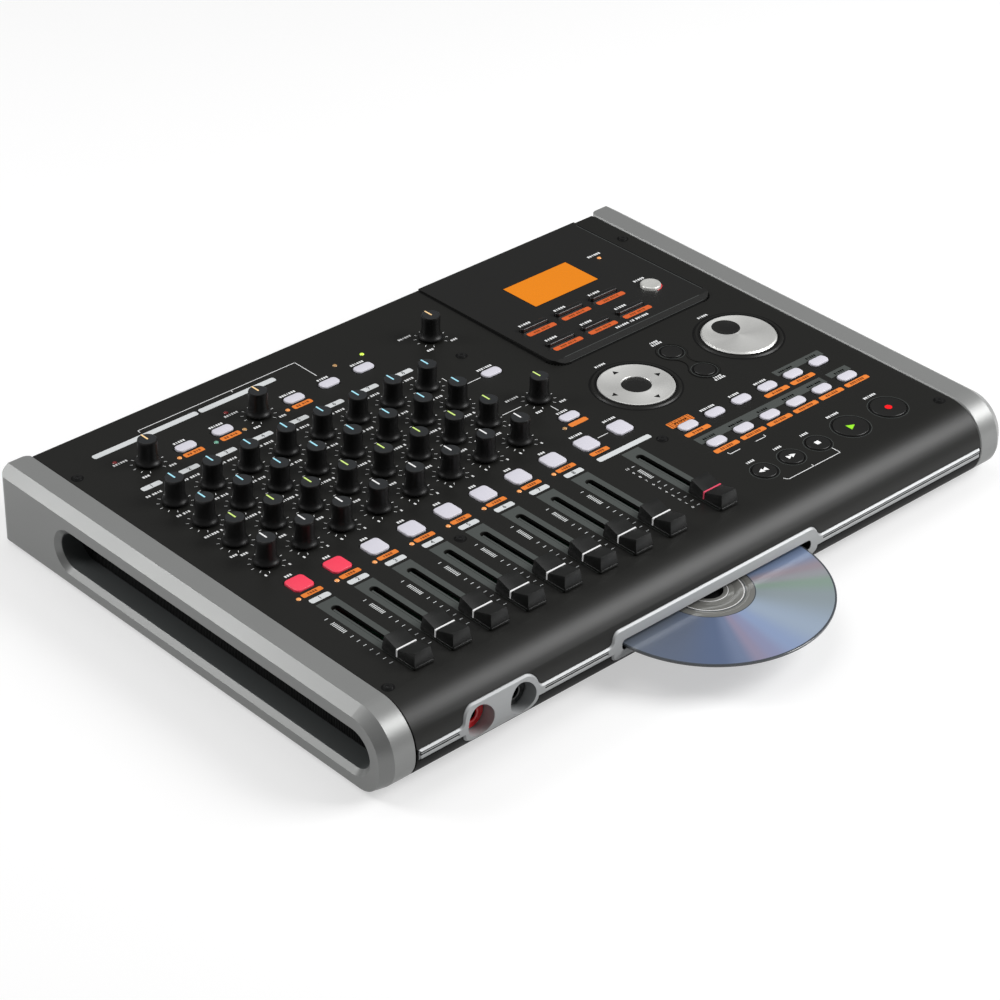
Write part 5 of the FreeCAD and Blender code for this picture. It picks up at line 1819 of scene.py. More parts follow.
@dataclass
class Keys:
    """The square, pill-shaped and round keys of the panel."""

    gap_top: float = 0.06
    gap_short: float = 2.4
    pill_gap: float = 0.55
    pill_line: float = 0.5
    proud: float = 0.85
    square: tuple[float, float, float] = (11.0, 10.6, 2.3)
    square_y: float = 110.2
    square_count: int = 10
    lit_keys: int = 2
    pill: Pair = (11.2, 6.0)
    pill_corner: float = 2.3
    pill_row_y: float = 235.6
    pill_columns: tuple[float, ...] = (1.5, 2.5, 4.5, 5.5, 6.5)
    master_pill_ys: Pair = (190.3, 134.0)
    right_first_x: float = 69.5
    right_pitch: float = 18.7
    right_columns: int = 6
    right_rows: Pair = (70.2, 89.6)
    under: float = -2.2
    edge: float = 0.5
    icon_heights: Pair = (0.2, 0.36)
    flange: float = 1.2
    rim: Points = ((0.0, 0.1), (0.08, 0.3), (0.3, 0.48), (0.6, 0.5), (1.0, 0.42))
    dish_heights: Pair = (0.3, 0.26)
    # Round each round key: a dark gap ring and a grey ring of painted highlight.
    gap_and_highlight_rings: tuple[tuple[float, float, Finish], ...] = (
        (0.25, 1.1, Paint.GROOVE_AND_SHADE), (1.1, 1.35, Paint.GREY_INK_AND_HIGHLIGHT),
    )

    def build(self) -> None:
        """Build all the keys."""
        self.build_squares()
        self.build_pills()
        self.build_gaps()
        self.build_round_keys()

    def build_squares(self) -> None:
        """The ten square keys, two of them lit."""
        width, length, corner = self.square
        form = Form("channel_keys_dressed")
        for number in range(self.square_count):
            finish = Paint.KEY_LIT if number < self.lit_keys else Paint.KEY_WHITE
            key = slab(width, length, self.under, self.proud, corner=corner, edge=self.edge)
            form.add(key, finish, [placed(DECK.column(number), self.square_y)])
        form.build("channel_keys", Slot.KEY_WHITE, ("channel_keys",))

    def pill_places(self) -> tuple[list[Pair], list[Pair]]:
        """The places of the pills of the inputs and of the right-hand block."""
        inputs = [(DECK.column(column), self.pill_row_y) for column in self.pill_columns]
        inputs += [(DECK.column(MASTER_COLUMN), y) for y in self.master_pill_ys]
        right = []
        for y in self.right_rows:
            for number in range(self.right_columns):
                right.append((self.right_first_x + number * self.right_pitch, y))
        return inputs, right

    def build_pills(self) -> None:
        """The pill keys as two groups."""
        inputs, right = self.pill_places()
        for name, places in (("input_keys", inputs), ("function_keys", right)):
            form = Form(name + "_dressed")
            key = slab(*self.pill, self.under, self.proud, self.pill_corner, self.edge, corner_steps=4)
            form.add(key, Paint.KEY_WHITE, [placed(x, y) for x, y in places])
            form.build(name, Slot.KEY_WHITE, (name,))

    def build_gaps(self) -> None:
        """The dark lines beside the pill keys, and round each round key a dark gap ring and a grey ring of
        painted highlight.
        """
        form = Form("key_gaps")
        pills = [place for group in self.pill_places() for place in group]
        half_width, half_length = (size / 2 + self.pill_gap for size in self.pill)
        side = slab(self.pill_line, 2 * half_length - self.gap_short, -INK_SINK, self.gap_top)
        form.add(side, Paint.GROOVE_AND_SHADE, [placed(x - half_width, y) for x, y in pills])
        rail = slab(2 * half_width - self.gap_short, self.pill_line, -INK_SINK, self.gap_top)
        form.add(rail, Paint.GROOVE_AND_SHADE, [placed(x, y + end * half_length) for x, y in pills for end in (-1, 1)])
        for name in ROUND_KEYS:
            radius = self.cap_radius(name)
            for start, end, finish in self.gap_and_highlight_rings:
                ring = lathe(band(radius + start, radius + end, -INK_SINK, INK_THICK), Steps.LINE)
                form.add(ring, finish, [placed(*DECK.middle(name))])
        form.build("housing", Slot.PANEL)

    def build_round_keys(self) -> None:
        """The round black keys with their plain symbols."""
        for name, signs in ROUND_KEYS.items():
            radius = self.cap_radius(name)
            x, y = DECK.middle(name)
            form = Form(name + "_dressed")
            shoulder, middle = self.dish_heights
            section = button(radius, self.under, self.rim, ((radius / 2, shoulder), (0, middle)))
            form.add(lathe(section, Steps.KEY), Paint.KEY_BLACK, [placed(x, y)])
            for sign in signs:
                shape = prism(sign.sides, sign.radius, *self.icon_heights, sign.squash)
                form.add(shape, sign.finish, [placed(x + sign.x, y + sign.y, 0, sign.turn)])
            form.build(name, Slot.KEY_BLACK, (name,))

    def cap_radius(self, name: str) -> float:
        """The radius of a round key's cap, from its box less its flange.

        Args:
            name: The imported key.

        Returns:
            The radius, in millimetres.
        """
        low, high = node_box(name)
        return (high.x - low.x) / 2 / MM - self.flange


@dataclass
class Wheels:
    """The cursor key and the data wheel, both of turned metal."""

    cursor_radius: float = 19.7
    centre_radius: float = 7.7
    arrow_reach: float = 15.0
    arrow_radius: float = 1.9
    arrow_heights: Pair = (0.5, 0.74)
    collar_lines: tuple[tuple[float, float, float], ...] = ((20.15, 21.1, 0.76), (22.95, 23.8, 0.06))
    dimple_radius: float = 7.4
    dimple_offset: float = 9.3
    dimple_slopes: Pair = (0.5, 0.9999)

    def build(self) -> None:
        """Build both wheels."""
        self.build_cursor()
        self.build_data_wheel()
        self.build_collars()

    def build_collars(self) -> None:
        """The dark lines inside and outside the collar of each wheel."""
        form = Form("wheel_collar_lines")
        for inner, outer, high in self.collar_lines:
            seats = [placed(*DECK.middle(name)) for name in ("cursor_key", "data_wheel")]
            form.add(lathe(band(inner, outer, -INK_SINK, high), Steps.WHEEL), Paint.GROOVE_AND_SHADE, seats)
        form.build("housing", Slot.PANEL)

    def metal(self, name: str, x: float, y: float) -> Turned:
        """The turned metal of a wheel about its own axis.

        Args:
            name: The finish's name.
            x: The axis on the deck.
            y: The same, behind the front face.

        Returns:
            The finish.
        """
        spot = DECK.at(x, y)
        return Turned(
            name, "#f6f6f3", gloss=0.3, metallic=0.45, tint=0.04, spread=0.04, relief=0.000002,
            centre=(spot.x, spot.y, 0.0),
        )

    def build_cursor(self) -> None:
        """A broad turned ring round a dark centre, with four arrows."""
        x, y = DECK.middle("cursor_key")
        radius = self.cursor_radius
        centre = self.centre_radius
        form = Form("cursor_key_dressed")
        ring = (
            (centre, -1.2), (radius, -1.2), (radius, 0.45), (radius - 0.15, 0.75), (radius - 0.5, 0.9),
            (radius - 0.9, 0.86), (radius - 1.2, 0.74), (14.0, 0.66), (centre + 0.9, 0.74),
            (centre + 0.5, 0.86), (centre + 0.2, 0.84), (centre, 0.6), (centre, -1.2),
        )
        form.add(lathe(ring, Steps.WHEEL), self.metal("cursor_metal", x, y), [placed(x, y)])
        hub = ((0, -1.2), (centre, -1.2), (centre, 0.1), (centre - 0.4, 0.22), (4.0, 0.36), (0, 0.4))
        form.add(lathe(hub, Steps.HUB), Paint.KEY_BLACK, [placed(x, y)])
        for turn in (0.0, 90.0, 180.0, 270.0):
            angle = math.radians(turn)
            reach = self.arrow_reach
            seat = placed(x - reach * math.sin(angle), y + reach * math.cos(angle), 0, turn)
            form.add(prism(3, self.arrow_radius, *self.arrow_heights), Paint.GROOVE_AND_SHADE, [seat])
        form.build("cursor_key", Slot.WHEEL, ("cursor_key",))

    def build_data_wheel(self) -> None:
        """A turned face with a dark finger dimple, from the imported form."""
        x, y = DECK.middle("data_wheel")
        form = Form("data_wheel_dressed")
        dimple = DECK.at(x, y + self.dimple_offset)
        for inside, finish in ((False, self.metal("data_wheel_metal", x, y)), (True, Paint.KEY_BLACK)):
            wheel = cad_copy("data_wheel")
            others = [
                face for face in wheel.faces
                if self.in_dimple(face.calc_center_median(), face.normal, dimple) != inside
            ]
            bmesh.ops.delete(wheel, geom=others, context="FACES")
            form.add(wheel, finish)
        bmesh.ops.remove_doubles(form.mesh, verts=form.mesh.verts, dist=MERGE_DISTANCE)
        form.build("data_wheel", Slot.WHEEL, ("data_wheel",))

    def in_dimple(self, spot: Vector, normal: Vector, dimple: Vector) -> bool:
        """Whether a face belongs to the finger dimple.

        Args:
            spot: The face's middle.
            normal: The face's normal.
            dimple: The dimple's middle on the wheel's face.

        Returns:
            True for a face of the dimple's bowl.
        """
        apart = math.hypot(spot.x - dimple.x, spot.y - dimple.y)
        steep, level = self.dimple_slopes
        return apart < self.dimple_radius * MM and spot.z > DECK.top_z - MM and steep < normal.z < level


@dataclass
class Pod:
    """The display pod with its display, slim keys, power key and prints."""

    key_xs: tuple[float, ...] = (77.5, 102.1, 126.7)
    key_ys: tuple[float, ...] = (188.3, 207.9)
    key_width: float = 18.6
    key_length: float = 3.2
    key_top: float = 3.6
    key_corner: float = 1.4
    key_edge: float = 0.45
    under: float = -2.2
    plate_before: float = 5.0
    plate_width: float = 19.2
    plate_length: float = 3.4
    side_x: Pair = (60.0, 172.0)
    corner: float = 8.0
    lens: tuple[float, float, float, float] = (92.5, 137.1, 222.2, 247.0)
    slope_rear: float = 0.9
    height: float = 2.0
    front_y: float = 171.2
    crease: float = 3.4
    rear_y: float = 277.0
    power_radius: float = 5.5
    power_rim: Points = ((0.0, 2.7), (0.2, 3.1), (0.6, 3.35), (1.1, 3.4), (1.6, 3.28))
    power_top: Points = ((2.0, 3.1), (0, 3.06))
    light_section: Points = ((0.3, 1.2), (0.75, 1.2), (0.75, 1.75), (0.3, 1.85))
    light_span: float = 75.0
    light_start: float = -95.0
    lamp: Pair = (153.7, 238.4)
    lamp_section: Points = ((0, -0.2), (1.15, -0.2), (1.15, 0.1), (0.8, 0.4), (0, 0.5))
    gap_out: float = 0.55
    gap_width: float = 0.9
    rear_short: float = 1.0
    corner_steps: int = 8
    # Painted highlights along the front bevel: behind, width, low, high.
    front_highlights: tuple[tuple[float, float, float, float], ...] = (
        (0.2, 0.3, 0.3, 0.6), (3.5, 0.35, 1.8, 2.02),
    )
    side_gaps_and_highlights: tuple[tuple[float, float, Finish], ...] = (
        (0.9, 0.7, Paint.GROOVE_AND_SHADE), (1.7, 0.35, Paint.EDGE_HIGHLIGHT),
    )
    side_short: float = 8.0
    glass_depth: float = 0.3
    glass_rim: float = 0.4
    glass_step: Pair = (-0.2, 0.03)
    plate_shift: float = 0.9
    plate_corner: float = 1.0
    key_word: Pair = (-2.2, 4.6)
    key_word_size: float = 1.7
    word_size: float = 1.6
    words: tuple[tuple[float, float, Words], ...] = (
        (152.4, 207.4, (5,)), (153.7, 242.6, (6,)), (119.0, 178.6, (6, 2, 6)),
    )

    def build(self) -> None:
        """Dress the pod and build what is on it."""
        dress("display_pod", Paint.POD)
        dress("lcd_window", Paint.LCD)
        self.build_keys()
        self.build_plates()
        self.build_power()
        self.build_outline()
        self.build_glass()

    def outline(self, outward: float) -> list[Pair]:
        """The pod's outline on the deck, without its rear side.

        Args:
            outward: How far outside the pod's edge it runs.

        Returns:
            The points, from the rear on the left to the rear on the right.
        """
        left, right = self.side_x
        reach = self.corner + outward
        rear = self.rear_y - self.rear_short
        points = [(left - outward, rear)]
        for middle_x, start in ((left + self.corner, 180), (right - self.corner, 270)):
            for step in range(self.corner_steps + 1):
                angle = math.radians(start + step * 90 / self.corner_steps)
                x = middle_x + reach * math.cos(angle)
                points.append((x, self.front_y + self.corner + reach * math.sin(angle)))
        points.append((right + outward, rear))
        return points

    def build_outline(self) -> None:
        """The dark gap round the pod, painted highlight lines along its front bevel and its right side, and a
        dark gap line on that side.
        """
        form = Form("pod_outline")
        form.add(stroke(self.outline(self.gap_out), self.gap_width, -INK_SINK, INK_THICK), Paint.GROOVE_AND_SHADE)
        left, right = self.side_x
        for behind, width, low, high in self.front_highlights:
            y = self.front_y + behind
            line = stroke(((left + self.corner, y), (right - self.corner, y)), width, low, high)
            form.add(line, Paint.EDGE_HIGHLIGHT)
        crease = self.front_y + self.front_highlights[-1][0]
        middle = (crease + self.rear_y) / 2
        for inset, width, finish in self.side_gaps_and_highlights:
            line = slab(width, self.rear_y - crease - self.side_short, -INK_SINK, INK_THICK)
            form.add(line, finish, [placed(right - inset, middle, self.surface(middle)) @ self.lean()])
        form.build("housing", Slot.POD)

    def build_glass(self) -> None:
        """The display's glass with its dark rim, flush with the pod."""
        glass = Form("display_glass")
        west, east, south, north = self.lens
        middle = (south + north) / 2
        seat = placed((west + east) / 2, middle, self.surface(middle)) @ self.lean()
        glass.add(slab(east - west, north - south, -self.glass_depth, INK_THICK), Paint.LCD, [seat])
        rim = slab(east - west + 2 * self.glass_rim, north - south + 2 * self.glass_rim, *self.glass_step)
        glass.add(rim, Paint.GROOVE_AND_SHADE, [seat])
        glass.build("housing", Slot.POD)

    def lean(self) -> Matrix:
        """The turn of the pod's sloping top."""
        length = self.rear_y - self.front_y - self.crease
        return Matrix.Rotation(-math.atan2(self.height - self.slope_rear, length), 4, "X")

    def surface(self, y: float) -> float:
        """The height of the pod's sloping top above the panel.

        Args:
            y: The place behind the front face, in millimetres.

        Returns:
            The height, in millimetres.
        """
        start = self.front_y + self.crease
        share = (y - start) / (self.rear_y - start)
        return self.height + (self.slope_rear - self.height) * share

    def build_keys(self) -> None:
        """The six slim keys."""
        form = Form("display_keys_dressed")
        key = slab(
            self.key_width, self.key_length, self.under, self.key_top, self.key_corner, self.key_edge,
        )
        form.add(key, Paint.KEY_GLOSS, [placed(x, y) for y in self.key_ys for x in self.key_xs])
        form.build("display_keys", Slot.KEY_BLACK, ("display_keys",))

    def build_plates(self) -> None:
        """The rust plates in front of the slim keys, short legends and the lamp."""
        form = Form("pod_prints")
        lean = self.lean()
        for y in self.key_ys:
            for x in self.key_xs:
                front = y - self.plate_before
                middle = x + self.plate_shift
                top = self.surface(front)
                plate = slab(
                    self.plate_width, self.plate_length, -INK_SINK, INK_THICK, self.plate_corner,
                    corner_steps=3,
                )
                form.add(plate, Paint.INK_RUST, [placed(middle, front, top) @ lean])
                words = (3, 4)
                mark_words(form, middle, front, words, Paint.INK_BROWN, lift=top + INK_THICK, lean=lean)
                behind = y + self.key_word[1]
                top = self.surface(behind)
                size = self.key_word_size
                mark_words(form, x + self.key_word[0], behind, (5,), Paint.INK_LEGEND, size, top, lean)
        for x, y, words in self.words:
            mark_words(form, x, y, words, Paint.INK_LEGEND, self.word_size, self.surface(y), lean)
        x, y = self.lamp
        form.add(lathe(self.lamp_section, Steps.TINY), Paint.LAMP_ORANGE, [placed(x, y, self.surface(y))])
        form.build("housing", Slot.POD)

    def build_power(self) -> None:
        """The silver power key and the red light at its edge."""
        x, y = DECK.middle("power_key")
        radius = self.power_radius
        form = Form("power_key_dressed")
        section = button(radius, self.under, self.power_rim, self.power_top)
        form.add(lathe(section, Steps.HUB), Paint.POWER, [placed(x, y)])
        form.build("power_key", Slot.WHEEL, ("power_key",))
        glow = Form("power_light")
        section = [(radius + apart, height) for apart, height in self.light_section]
        arc = lathe(section, Steps.SMALL, self.light_span)
        glow.add(arc, Paint.GLOW_RED, [placed(x, y, 0, self.light_start)])
        glow.build("housing", Slot.POD)


@dataclass(frozen=True)
class Plate:
    """A printed plate: its middle, its size and its corner, in millimetres."""

    x: float
    y: float
    width: float
    length: float
    corner: float = 0.6


@dataclass
class Prints:
    """What is printed on the panel, and the lamps set in it."""

    number_y: float = 218.9
    number_shift: float = 0.3
    number_plate: tuple[float, float, float] = (11.5, 3.4, 1.0)
    number_sink: float = 0.01
    front_number_y: float = 95.6
    mute_y: float = 101.3
    mute_shift: float = 0.15
    mute_plate: tuple[float, float, float] = (11.7, 3.0, 0.8)
    mute_lamp_x: float = 8.1
    mute_lamp_y: float = 100.8
    digit_size: float = 3.5
    bars: tuple[Plate, ...] = (Plate(-133.5, 256.8, 63.1, 3.6, 1.2), Plate(-76.8, 256.8, 47.6, 3.6, 1.2))
    master_bar: Plate = Plate(31.75, 95.6, 35.1, 3.4, 1.0)
    right_plate: tuple[float, float, float] = (16.4, 3.2, 0.9)
    right_plate_shift: float = 0.3
    right_plate_before: float = 6.4
    plated_upper_keys: tuple[int, ...] = (0, 3, 4)
    lanes: tuple[Plate, ...] = (
        Plate(106.9, 75.9, 89.6, 5.8, 0.3),
        Plate(163.0, 76.2, 14.6, 4.6, 0.3),
        Plate(153.9, 95.3, 33.6, 4.9, 0.3),
    )
    input_columns: tuple[float, ...] = (1.5, 2.5, 4.5)
    input_plate: tuple[float, float, float, float] = (229.2, 11.7, 3.5, 0.9)
    level_plate: tuple[float, float, float, float] = (127.6, 11.7, 3.3, 0.9)
    shaded_block: Plate = Plate(69.5, 95.0, 15.4, 5.2, 0.3)
    shading_line: float = 0.28
    shading_inset: float = 0.6
    shading_rows: int = 4
    shading_columns: int = 7
    shading_spread: float = 7.4
    channel_word: Pair = (0.3, 8.2)
    knob_words: tuple[Words, ...] = ((2, 4), (2, 3), (6, 1), (3,))
    knob_word: Pair = (-3.4, 12.0)
    ring_words: tuple[tuple[str, float, float, int], ...] = (("effect", 8.0, -8.4, 3), ("pan", 7.0, -8.0, 1))
    last_key_word: Pair = (1.2, 9.0)
    pill_word: Pair = (0.2, 5.6)
    node_words: tuple[tuple[tuple[str, ...], float, float, int], ...] = (
        (("rewind_key", "forward_key", "stop_key"), 0.6, 10.2, 4),
        (("play_key", "record_key"), 0.9, 13.2, 6),
        (("cursor_key", "data_wheel"), 0.0, 26.0, 5),
        (("yes_key",), 0.0, 10.8, 5),
        (("yes_key",), 0.0, 12.9, 4),
        (("no_key",), 0.0, -10.8, 5),
        (("no_key",), 0.0, -8.7, 4),
        (LEVEL_KNOBS, -10.0, 9.0, 6),
        (LEVEL_KNOBS, -8.0, -8.6, 3),
        (LEVEL_KNOBS, 8.0, -8.6, 3),
    )
    line_width: float = 0.4
    lines: tuple[Points, ...] = (
        ((-134.1, 260.6), (-134.1, 262.4), (-35.6, 262.4), (-35.6, 245.5)),
        ((-76.7, 262.4), (-76.7, 260.9)),
        ((8.5, 156.5), (20.6, 156.5)),
        ((32.0, 147.1), (32.0, 142.0)),
        ((28.7, 110.6), (35.2, 110.6)),
        ((15.5, 190.1), (24.3, 190.1)),
        ((9.6, 202.1), (9.6, 198.9)),
        ((66.1, 59.6), (66.1, 58.0), (73.0, 58.0)),
        ((91.0, 59.4), (91.0, 57.8), (84.0, 57.8)),
        ((69.6, 26.1), (71.0, 24.0), (107.2, 24.0), (107.2, 29.2)),
        ((88.6, 24.0), (88.6, 25.4)),
    )
    lamps: tuple[tuple[float, float, Finish], ...] = (
        (-159.8, 246.5, Paint.LAMP_RED),
        (-91.6, 247.4, Paint.LAMP_RED),
        (-134.1, 229.6, Paint.LAMP_ORANGE),
        (-112.2, 229.1, Paint.LAMP_TEAL),
        (-94.5, 229.4, Paint.LAMP_AMBER),
        (-67.4, 229.4, Paint.LAMP_ORANGE),
        (-4.9, 246.5, Paint.LAMP_GREEN),
        (-22.4, 246.9, Paint.LAMP_AMBER),
        (22.6, 127.4, Paint.LAMP_AMBER),
    )
    lamp_section: Points = (
        (0, -0.3), (1.2, -0.3), (1.2, 0.08), (0.96, 0.35), (0.48, 0.5), (0, 0.54),
    )
    island_radius: float = 8.4
    island_bend: float = 7.0
    island_lines: tuple[tuple[float, float, float, Finish], ...] = (
        (8.4, 0.5, INK_THICK, Paint.GROOVE_AND_SHADE), (7.9, 0.6, 0.3, Paint.PANEL),
    )

    def build(self) -> None:
        """Build the prints by colour, and the lamps."""
        self.build_white()
        self.build_orange()
        self.build_grey()
        self.build_legends()
        self.build_lamps()
        self.build_island()

    def plate(
        self, form: Form, spot: Plate, finish: Finish, lift: float = 0.0, words: Sequence[int] = (),
    ) -> None:
        """Print one plate.

        Args:
            form: The piece that holds the print.
            spot: Where it is and how large.
            finish: Its ink.
            lift: How much higher than the panel it lies.
            words: The blocks in each word that is marked on it.
        """
        shape = slab(
            spot.width, spot.length, lift - INK_SINK, lift + INK_THICK, corner=spot.corner, corner_steps=3,
        )
        form.add(shape, finish, [placed(spot.x, spot.y)])
        if words:
            mark_words(form, spot.x, spot.y, words, Paint.INK_BROWN, lift=lift + INK_THICK)

    def build_white(self) -> None:
        """The white bars, the number plates with their numbers, and the thin lines."""
        form = Form("panel_prints_white")
        for bar in self.bars + (self.master_bar,):
            self.plate(form, bar, Paint.INK_WHITE)
        for channel in range(CHANNELS):
            x = DECK.column(channel)
            for plate_x, y in ((x + self.number_shift, self.number_y), (x, self.front_number_y)):
                self.plate(form, Plate(plate_x, y, *self.number_plate), Paint.INK_WHITE)
                low = INK_THICK - self.number_sink
                number = digits(str(channel + 1), self.digit_size, low, 2 * INK_THICK)
                form.add(number, Paint.INK_DARK, [placed(plate_x, y)])
        for points in self.lines:
            form.add(stroke(points, self.line_width, -INK_SINK, INK_THICK), Paint.INK_LEGEND)
        form.build("housing", Slot.PANEL)

    def build_orange(self) -> None:
        """The orange plates in front of the keys."""
        form = Form("panel_prints_orange")
        for channel in range(CHANNELS + 1):
            x = DECK.column(channel) + self.mute_shift
            self.plate(form, Plate(x, self.mute_y, *self.mute_plate), Paint.INK_ORANGE, words=(4,))
        keys = Keys()
        for column in self.input_columns:
            self.plate(form, Plate(DECK.column(column), *self.input_plate), Paint.INK_ORANGE, words=(2, 3))
        self.plate(form, Plate(DECK.column(MASTER_COLUMN), *self.level_plate), Paint.INK_ORANGE)
        lower, upper = keys.right_rows
        for number in range(keys.right_columns):
            x = keys.right_first_x + number * keys.right_pitch + self.right_plate_shift
            spot = Plate(x, lower - self.right_plate_before, *self.right_plate)
            self.plate(form, spot, Paint.INK_ORANGE, words=(6 + number % 2,))
            if number in self.plated_upper_keys:
                spot = Plate(x, upper - self.right_plate_before, *self.right_plate)
                self.plate(form, spot, Paint.INK_ORANGE, words=(5 + number % 3,))
        self.shade_block(form)
        form.build("housing", Slot.PANEL)

    def shade_block(self, form: Form) -> None:
        """Print the orange block with crossing lines.

        Args:
            form: The piece that holds the print.
        """
        block = self.shaded_block
        self.plate(form, block, Paint.INK_ORANGE)
        spots = []
        for number in range(self.shading_rows):
            y = block.y + (number - (self.shading_rows - 1) / 2) * block.length / self.shading_rows
            spots.append(Plate(block.x, y, block.width - self.shading_inset, self.shading_line, 0.0))
        for number in range(self.shading_columns):
            x = block.x + (number - (self.shading_columns - 1) / 2) * block.width / self.shading_spread
            spots.append(Plate(x, block.y, self.shading_line, block.length - self.shading_inset, 0.0))
        for spot in spots:
            self.plate(form, spot, Paint.INK_BROWN, INK_THICK)

    def build_grey(self) -> None:
        """The grey lanes behind the right-hand keys."""
        form = Form("panel_prints_grey")
        for lane in self.lanes:
            self.plate(form, lane, Paint.GREY_INK_AND_HIGHLIGHT)
        form.build("housing", Slot.PANEL)

    def build_legends(self) -> None:
        """The plain marks by the keys and the knobs."""
        form = Form("panel_legends")
        for x, y, words in self.legend_places():
            mark_words(form, x, y, words, Paint.INK_LEGEND)
        form.build("housing", Slot.PANEL)

    def legend_places(self) -> list[tuple[float, float, Words]]:
        """The middle of each row of marks and the blocks in its words."""
        keys = Keys()
        found = []
        for channel in range(CHANNELS):
            x = DECK.column(channel)
            found.append((x + self.channel_word[0], keys.square_y + self.channel_word[1], (3,)))
            for row, words in zip(KNOB_ROWS, self.knob_words):
                found.append((x + self.knob_word[0], DECK.row(row) + self.knob_word[1], words))
            for row, apart, behind, count in self.ring_words:
                for side in (-1, 1):
                    found.append((x + side * apart, DECK.row(row) + behind, (count,)))
        for column in range(CHANNELS, keys.square_count):
            x = DECK.column(column) + self.last_key_word[0]
            found.append((x, keys.square_y + self.last_key_word[1], (6,)))
        inputs, right = keys.pill_places()
        for number, (x, y) in enumerate(inputs + right):
            found.append((x + self.pill_word[0], y + self.pill_word[1], (5 + number % 3,)))
        for names, shift, behind, count in self.node_words:
            for name in names:
                x, y = DECK.middle(name)
                found.append((x + shift, y + behind, (count,)))
        return found

    def build_lamps(self) -> None:
        """The small round lamps in the panel."""
        form = Form("panel_lamps")
        spots = list(self.lamps)
        for channel in range(CHANNELS):
            spots.append((DECK.column(channel) - self.mute_lamp_x, self.mute_lamp_y, Paint.LAMP_ORANGE))
        for x, y, finish in spots:
            form.add(lathe(self.lamp_section, Steps.LAMP), finish, [placed(x, y)])
        form.build("housing", Slot.PANEL)

    def build_island(self) -> None:
        """The raised outline that runs round the yes and no keys and joins them."""
        form = Form("answer_outline")
        seats = [DECK.middle(name) for name in ("yes_key", "no_key")]
        apart = abs(seats[0][1] - seats[1][1]) / 2
        middle = (seats[0][1] + seats[1][1]) / 2
        for radius, width, high, finish in self.island_lines:
            bend = self.island_radius + self.island_bend - radius
            reach = math.sqrt((radius + bend) ** 2 - apart ** 2)
            open_turn = math.degrees(math.atan2(reach, apart))
            bar = band(radius - width, radius, -INK_SINK, high)[:-1]
            round_arc = lathe(bar, Steps.KEY, 360 - 2 * open_turn)
            round_places = [
                placed(*seats[0], 0, open_turn - 90),
                placed(*seats[1], 0, open_turn + 90),
            ]
            form.add(round_arc, finish, round_places)
            bar = band(bend, bend + width, -INK_SINK, high)[:-1]
            neck_turn = 180 - 2 * open_turn
            neck = lathe(bar, Steps.TINY, neck_turn)
            x = seats[0][0]
            neck_places = [
                placed(x + reach, middle, 0, 180 - neck_turn / 2),
                placed(x - reach, middle, 0, -neck_turn / 2),
            ]
            form.add(neck, finish, neck_places)
        form.build("housing", Slot.PANEL)


@dataclass
class Sockets:
    """The collars of the front jacks, the painted shade lines of the strip and the lining of the slot."""

    jack_xs: Pair = (-149.0, -124.0)
    jack_drop: float = 20.5
    face: float = 6.4
    collar_section: Points = (
        (3.2, -0.6), (3.2, 0.2), (3.7, 0.5), (4.6, 0.5), (5.0, 0.3), (6.6, 0.3), (7.1, 0.1), (7.1, -0.6),
        (3.2, -0.6),
    )
    slot: Pair = (125.0, 5.4)
    slot_x: float = -0.8
    slot_drop: float = 20.7
    slot_start: float = -0.35
    slot_depth: float = 7.6
    slot_gap: float = 0.1
    slot_corner: float = 2.15
    slot_wall: float = 0.25
    slot_facing: float = 0.9
    strip_spans: Points = ((-184.7, -162.2), (-110.8, -72.0), (70.4, 184.7))
    strip_shade_lines: Points = ((19.75, 0.3), (20.8, 0.6), (23.5, 0.8))
    strip_reach: Pair = (0.4, 0.72)

    def build(self) -> None:
        """Dress the jacks, add their coloured collars and line the disc slot."""
        dress("front_jacks", Paint.JACK_BLACK)
        self.build_slot_liner()
        self.build_strip_shade()
        for x, finish, name in zip(self.jack_xs, (Paint.JACK_RED, Paint.JACK_BLACK), ("left", "right")):
            form = Form(name + "_jack_collar")
            form.add(lathe(self.collar_section, Steps.KEY), finish, [fronted(x, self.face, self.jack_drop)])
            form.build("housing", Slot.JACK)

    def build_strip_shade(self) -> None:
        """Painted shade: dark lines along the grooves of the ridged strip of the front moulding."""
        form = Form("strip_shade_lines")
        for start, end in self.strip_spans:
            for drop, height in self.strip_shade_lines:
                line = slab(end - start, height, *self.strip_reach)
                form.add(line, Paint.GROOVE_AND_SHADE, [fronted((start + end) / 2, 0, drop)])
        form.build("housing", Slot.TRAY)

    def build_slot_liner(self) -> None:
        """The dark lining of the disc slot's walls."""
        width, height = (size - self.slot_gap for size in self.slot)
        tube = slab(width, height, -self.slot_depth, -self.slot_start, corner=self.slot_corner)
        ends = [face for face in tube.faces if abs(face.normal.z) > self.slot_facing]
        bmesh.ops.delete(tube, geom=ends, context="FACES_ONLY")
        bmesh.ops.solidify(tube, geom=tube.faces[:], thickness=self.slot_wall * MM)
        form = Form("disc_slot_lining")
        form.add(closed(tube), Paint.GROOVE_AND_SHADE, [fronted(self.slot_x, 0, self.slot_drop)])
        form.build("housing", Slot.TRAY)


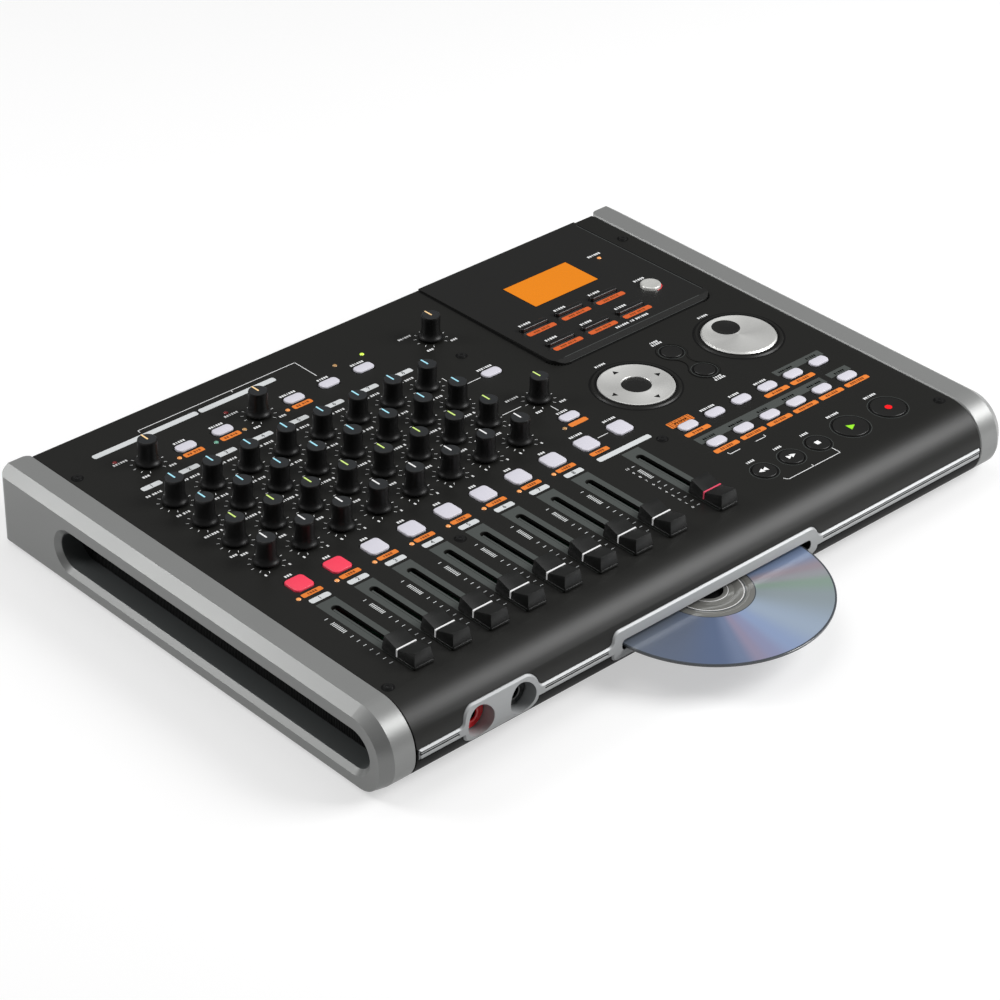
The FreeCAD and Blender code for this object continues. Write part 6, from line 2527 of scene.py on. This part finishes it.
@dataclass
class Disc:
    """The disc: clear hub with its ring and rings of painted highlight, the film with painted rainbow sheen,
    and the clear edge.
    """

    radius: float = 60.0
    hole: float = 7.5
    hub: float = 22.5
    film_edge: float = 59.0
    half: float = 0.6
    line_depth: float = 0.1
    line_proud: float = 0.01
    rim_bevel: float = 0.15
    # Dark rings of the hub, and two white glowing rings of painted highlight.
    hub_rings_and_highlights: tuple[tuple[float, float, Finish], ...] = (
        (22.2, 22.7, Paint.DISC_RIM), (17.0, 17.35, Paint.MARK_WHITE), (9.6, 9.9, Paint.MARK_WHITE),
        (17.8, 18.2, Paint.DISC_RIM),
    )
    # Painted sheen: the film's rainbow colours by turn about the centre.
    painted_wedges: tuple[tuple[float, str], ...] = (
        (0.0, "#747c88"), (0.07, "#646f84"), (0.14, "#5f6f8e"), (0.17, "#7684a2"), (0.19, "#9791aa"),
        (0.21, "#9296b6"), (0.24, "#93a5c8"), (0.29, "#a2b2c6"), (0.37, "#939fa5"), (0.405, "#8ca196"),
        (0.425, "#9c9ea4"), (0.442, "#9f949e"), (0.47, "#8394b4"), (0.5, "#6f83a4"), (0.62, "#6a7384"),
        (0.7, "#958ca0"), (0.75, "#9aabc6"), (0.86, "#8f9c9f"), (0.92, "#8d99b0"), (1.0, "#747c88"),
    )

    def build(self) -> None:
        """Build the disc from rings of its own section."""
        x, y = DECK.middle("disc")
        low, high = node_box("disc")
        z = (low.z + high.z) / 2
        spot = DECK.at(x, y)
        seat = Matrix.Translation((spot.x, spot.y, z))
        half = self.half
        form = Form("disc_dressed")
        film = Film(
            "disc_film", "#7f8ea6", gloss=0.3, metallic=0.1, coat=0.5, tint=0.03, spread=0.03,
            centre=(spot.x, spot.y, 0.0), painted_wedges=self.painted_wedges,
        )
        form.add(lathe(band(self.hub, self.film_edge, -half, half), Steps.DISC), film, [seat])
        hub = (
            (self.hole, -half), (17.0, -half), (self.hub, -half), (self.hub, half), (20.2, half),
            (19.4, half), (19.1, half - 0.18), (18.7, half - 0.18), (18.4, half), (13.2, half),
            (12.8, half - 0.15), (12.3, half - 0.15), (11.9, half), (self.hole + 0.2, half),
            (self.hole, half - 0.15), (self.hole, -half),
        )
        form.add(lathe(hub, Steps.WHEEL), Paint.HUB, [seat])
        bevel = self.rim_bevel
        edge = (
            (self.film_edge, -half), (self.radius - bevel, -half), (self.radius, -half + bevel),
            (self.radius, half - bevel), (self.radius - bevel, half), (self.film_edge, half),
            (self.film_edge, -half),
        )
        form.add(lathe(edge, Steps.DISC), Paint.DISC_RIM, [seat])
        for inner, outer, finish in self.hub_rings_and_highlights:
            line = band(inner, outer, half - self.line_depth, half + self.line_proud)
            form.add(lathe(line, Steps.WHEEL), finish, [seat])
        form.build("disc", Slot.DISC, ("disc",))


def main() -> None:
    """Build the studio and every part of the recorder."""
    logging.basicConfig(level=logging.INFO, format="%(name)s: %(message)s")
    for part in (
        Studio(), Casing(), KnobField(), Faders(), Keys(), Wheels(), Pod(), Prints(), Sockets(), Disc(),
    ):
        LOG.info("building %s", type(part).__name__)
        part.build()


if __name__ == "__main__":
    main()
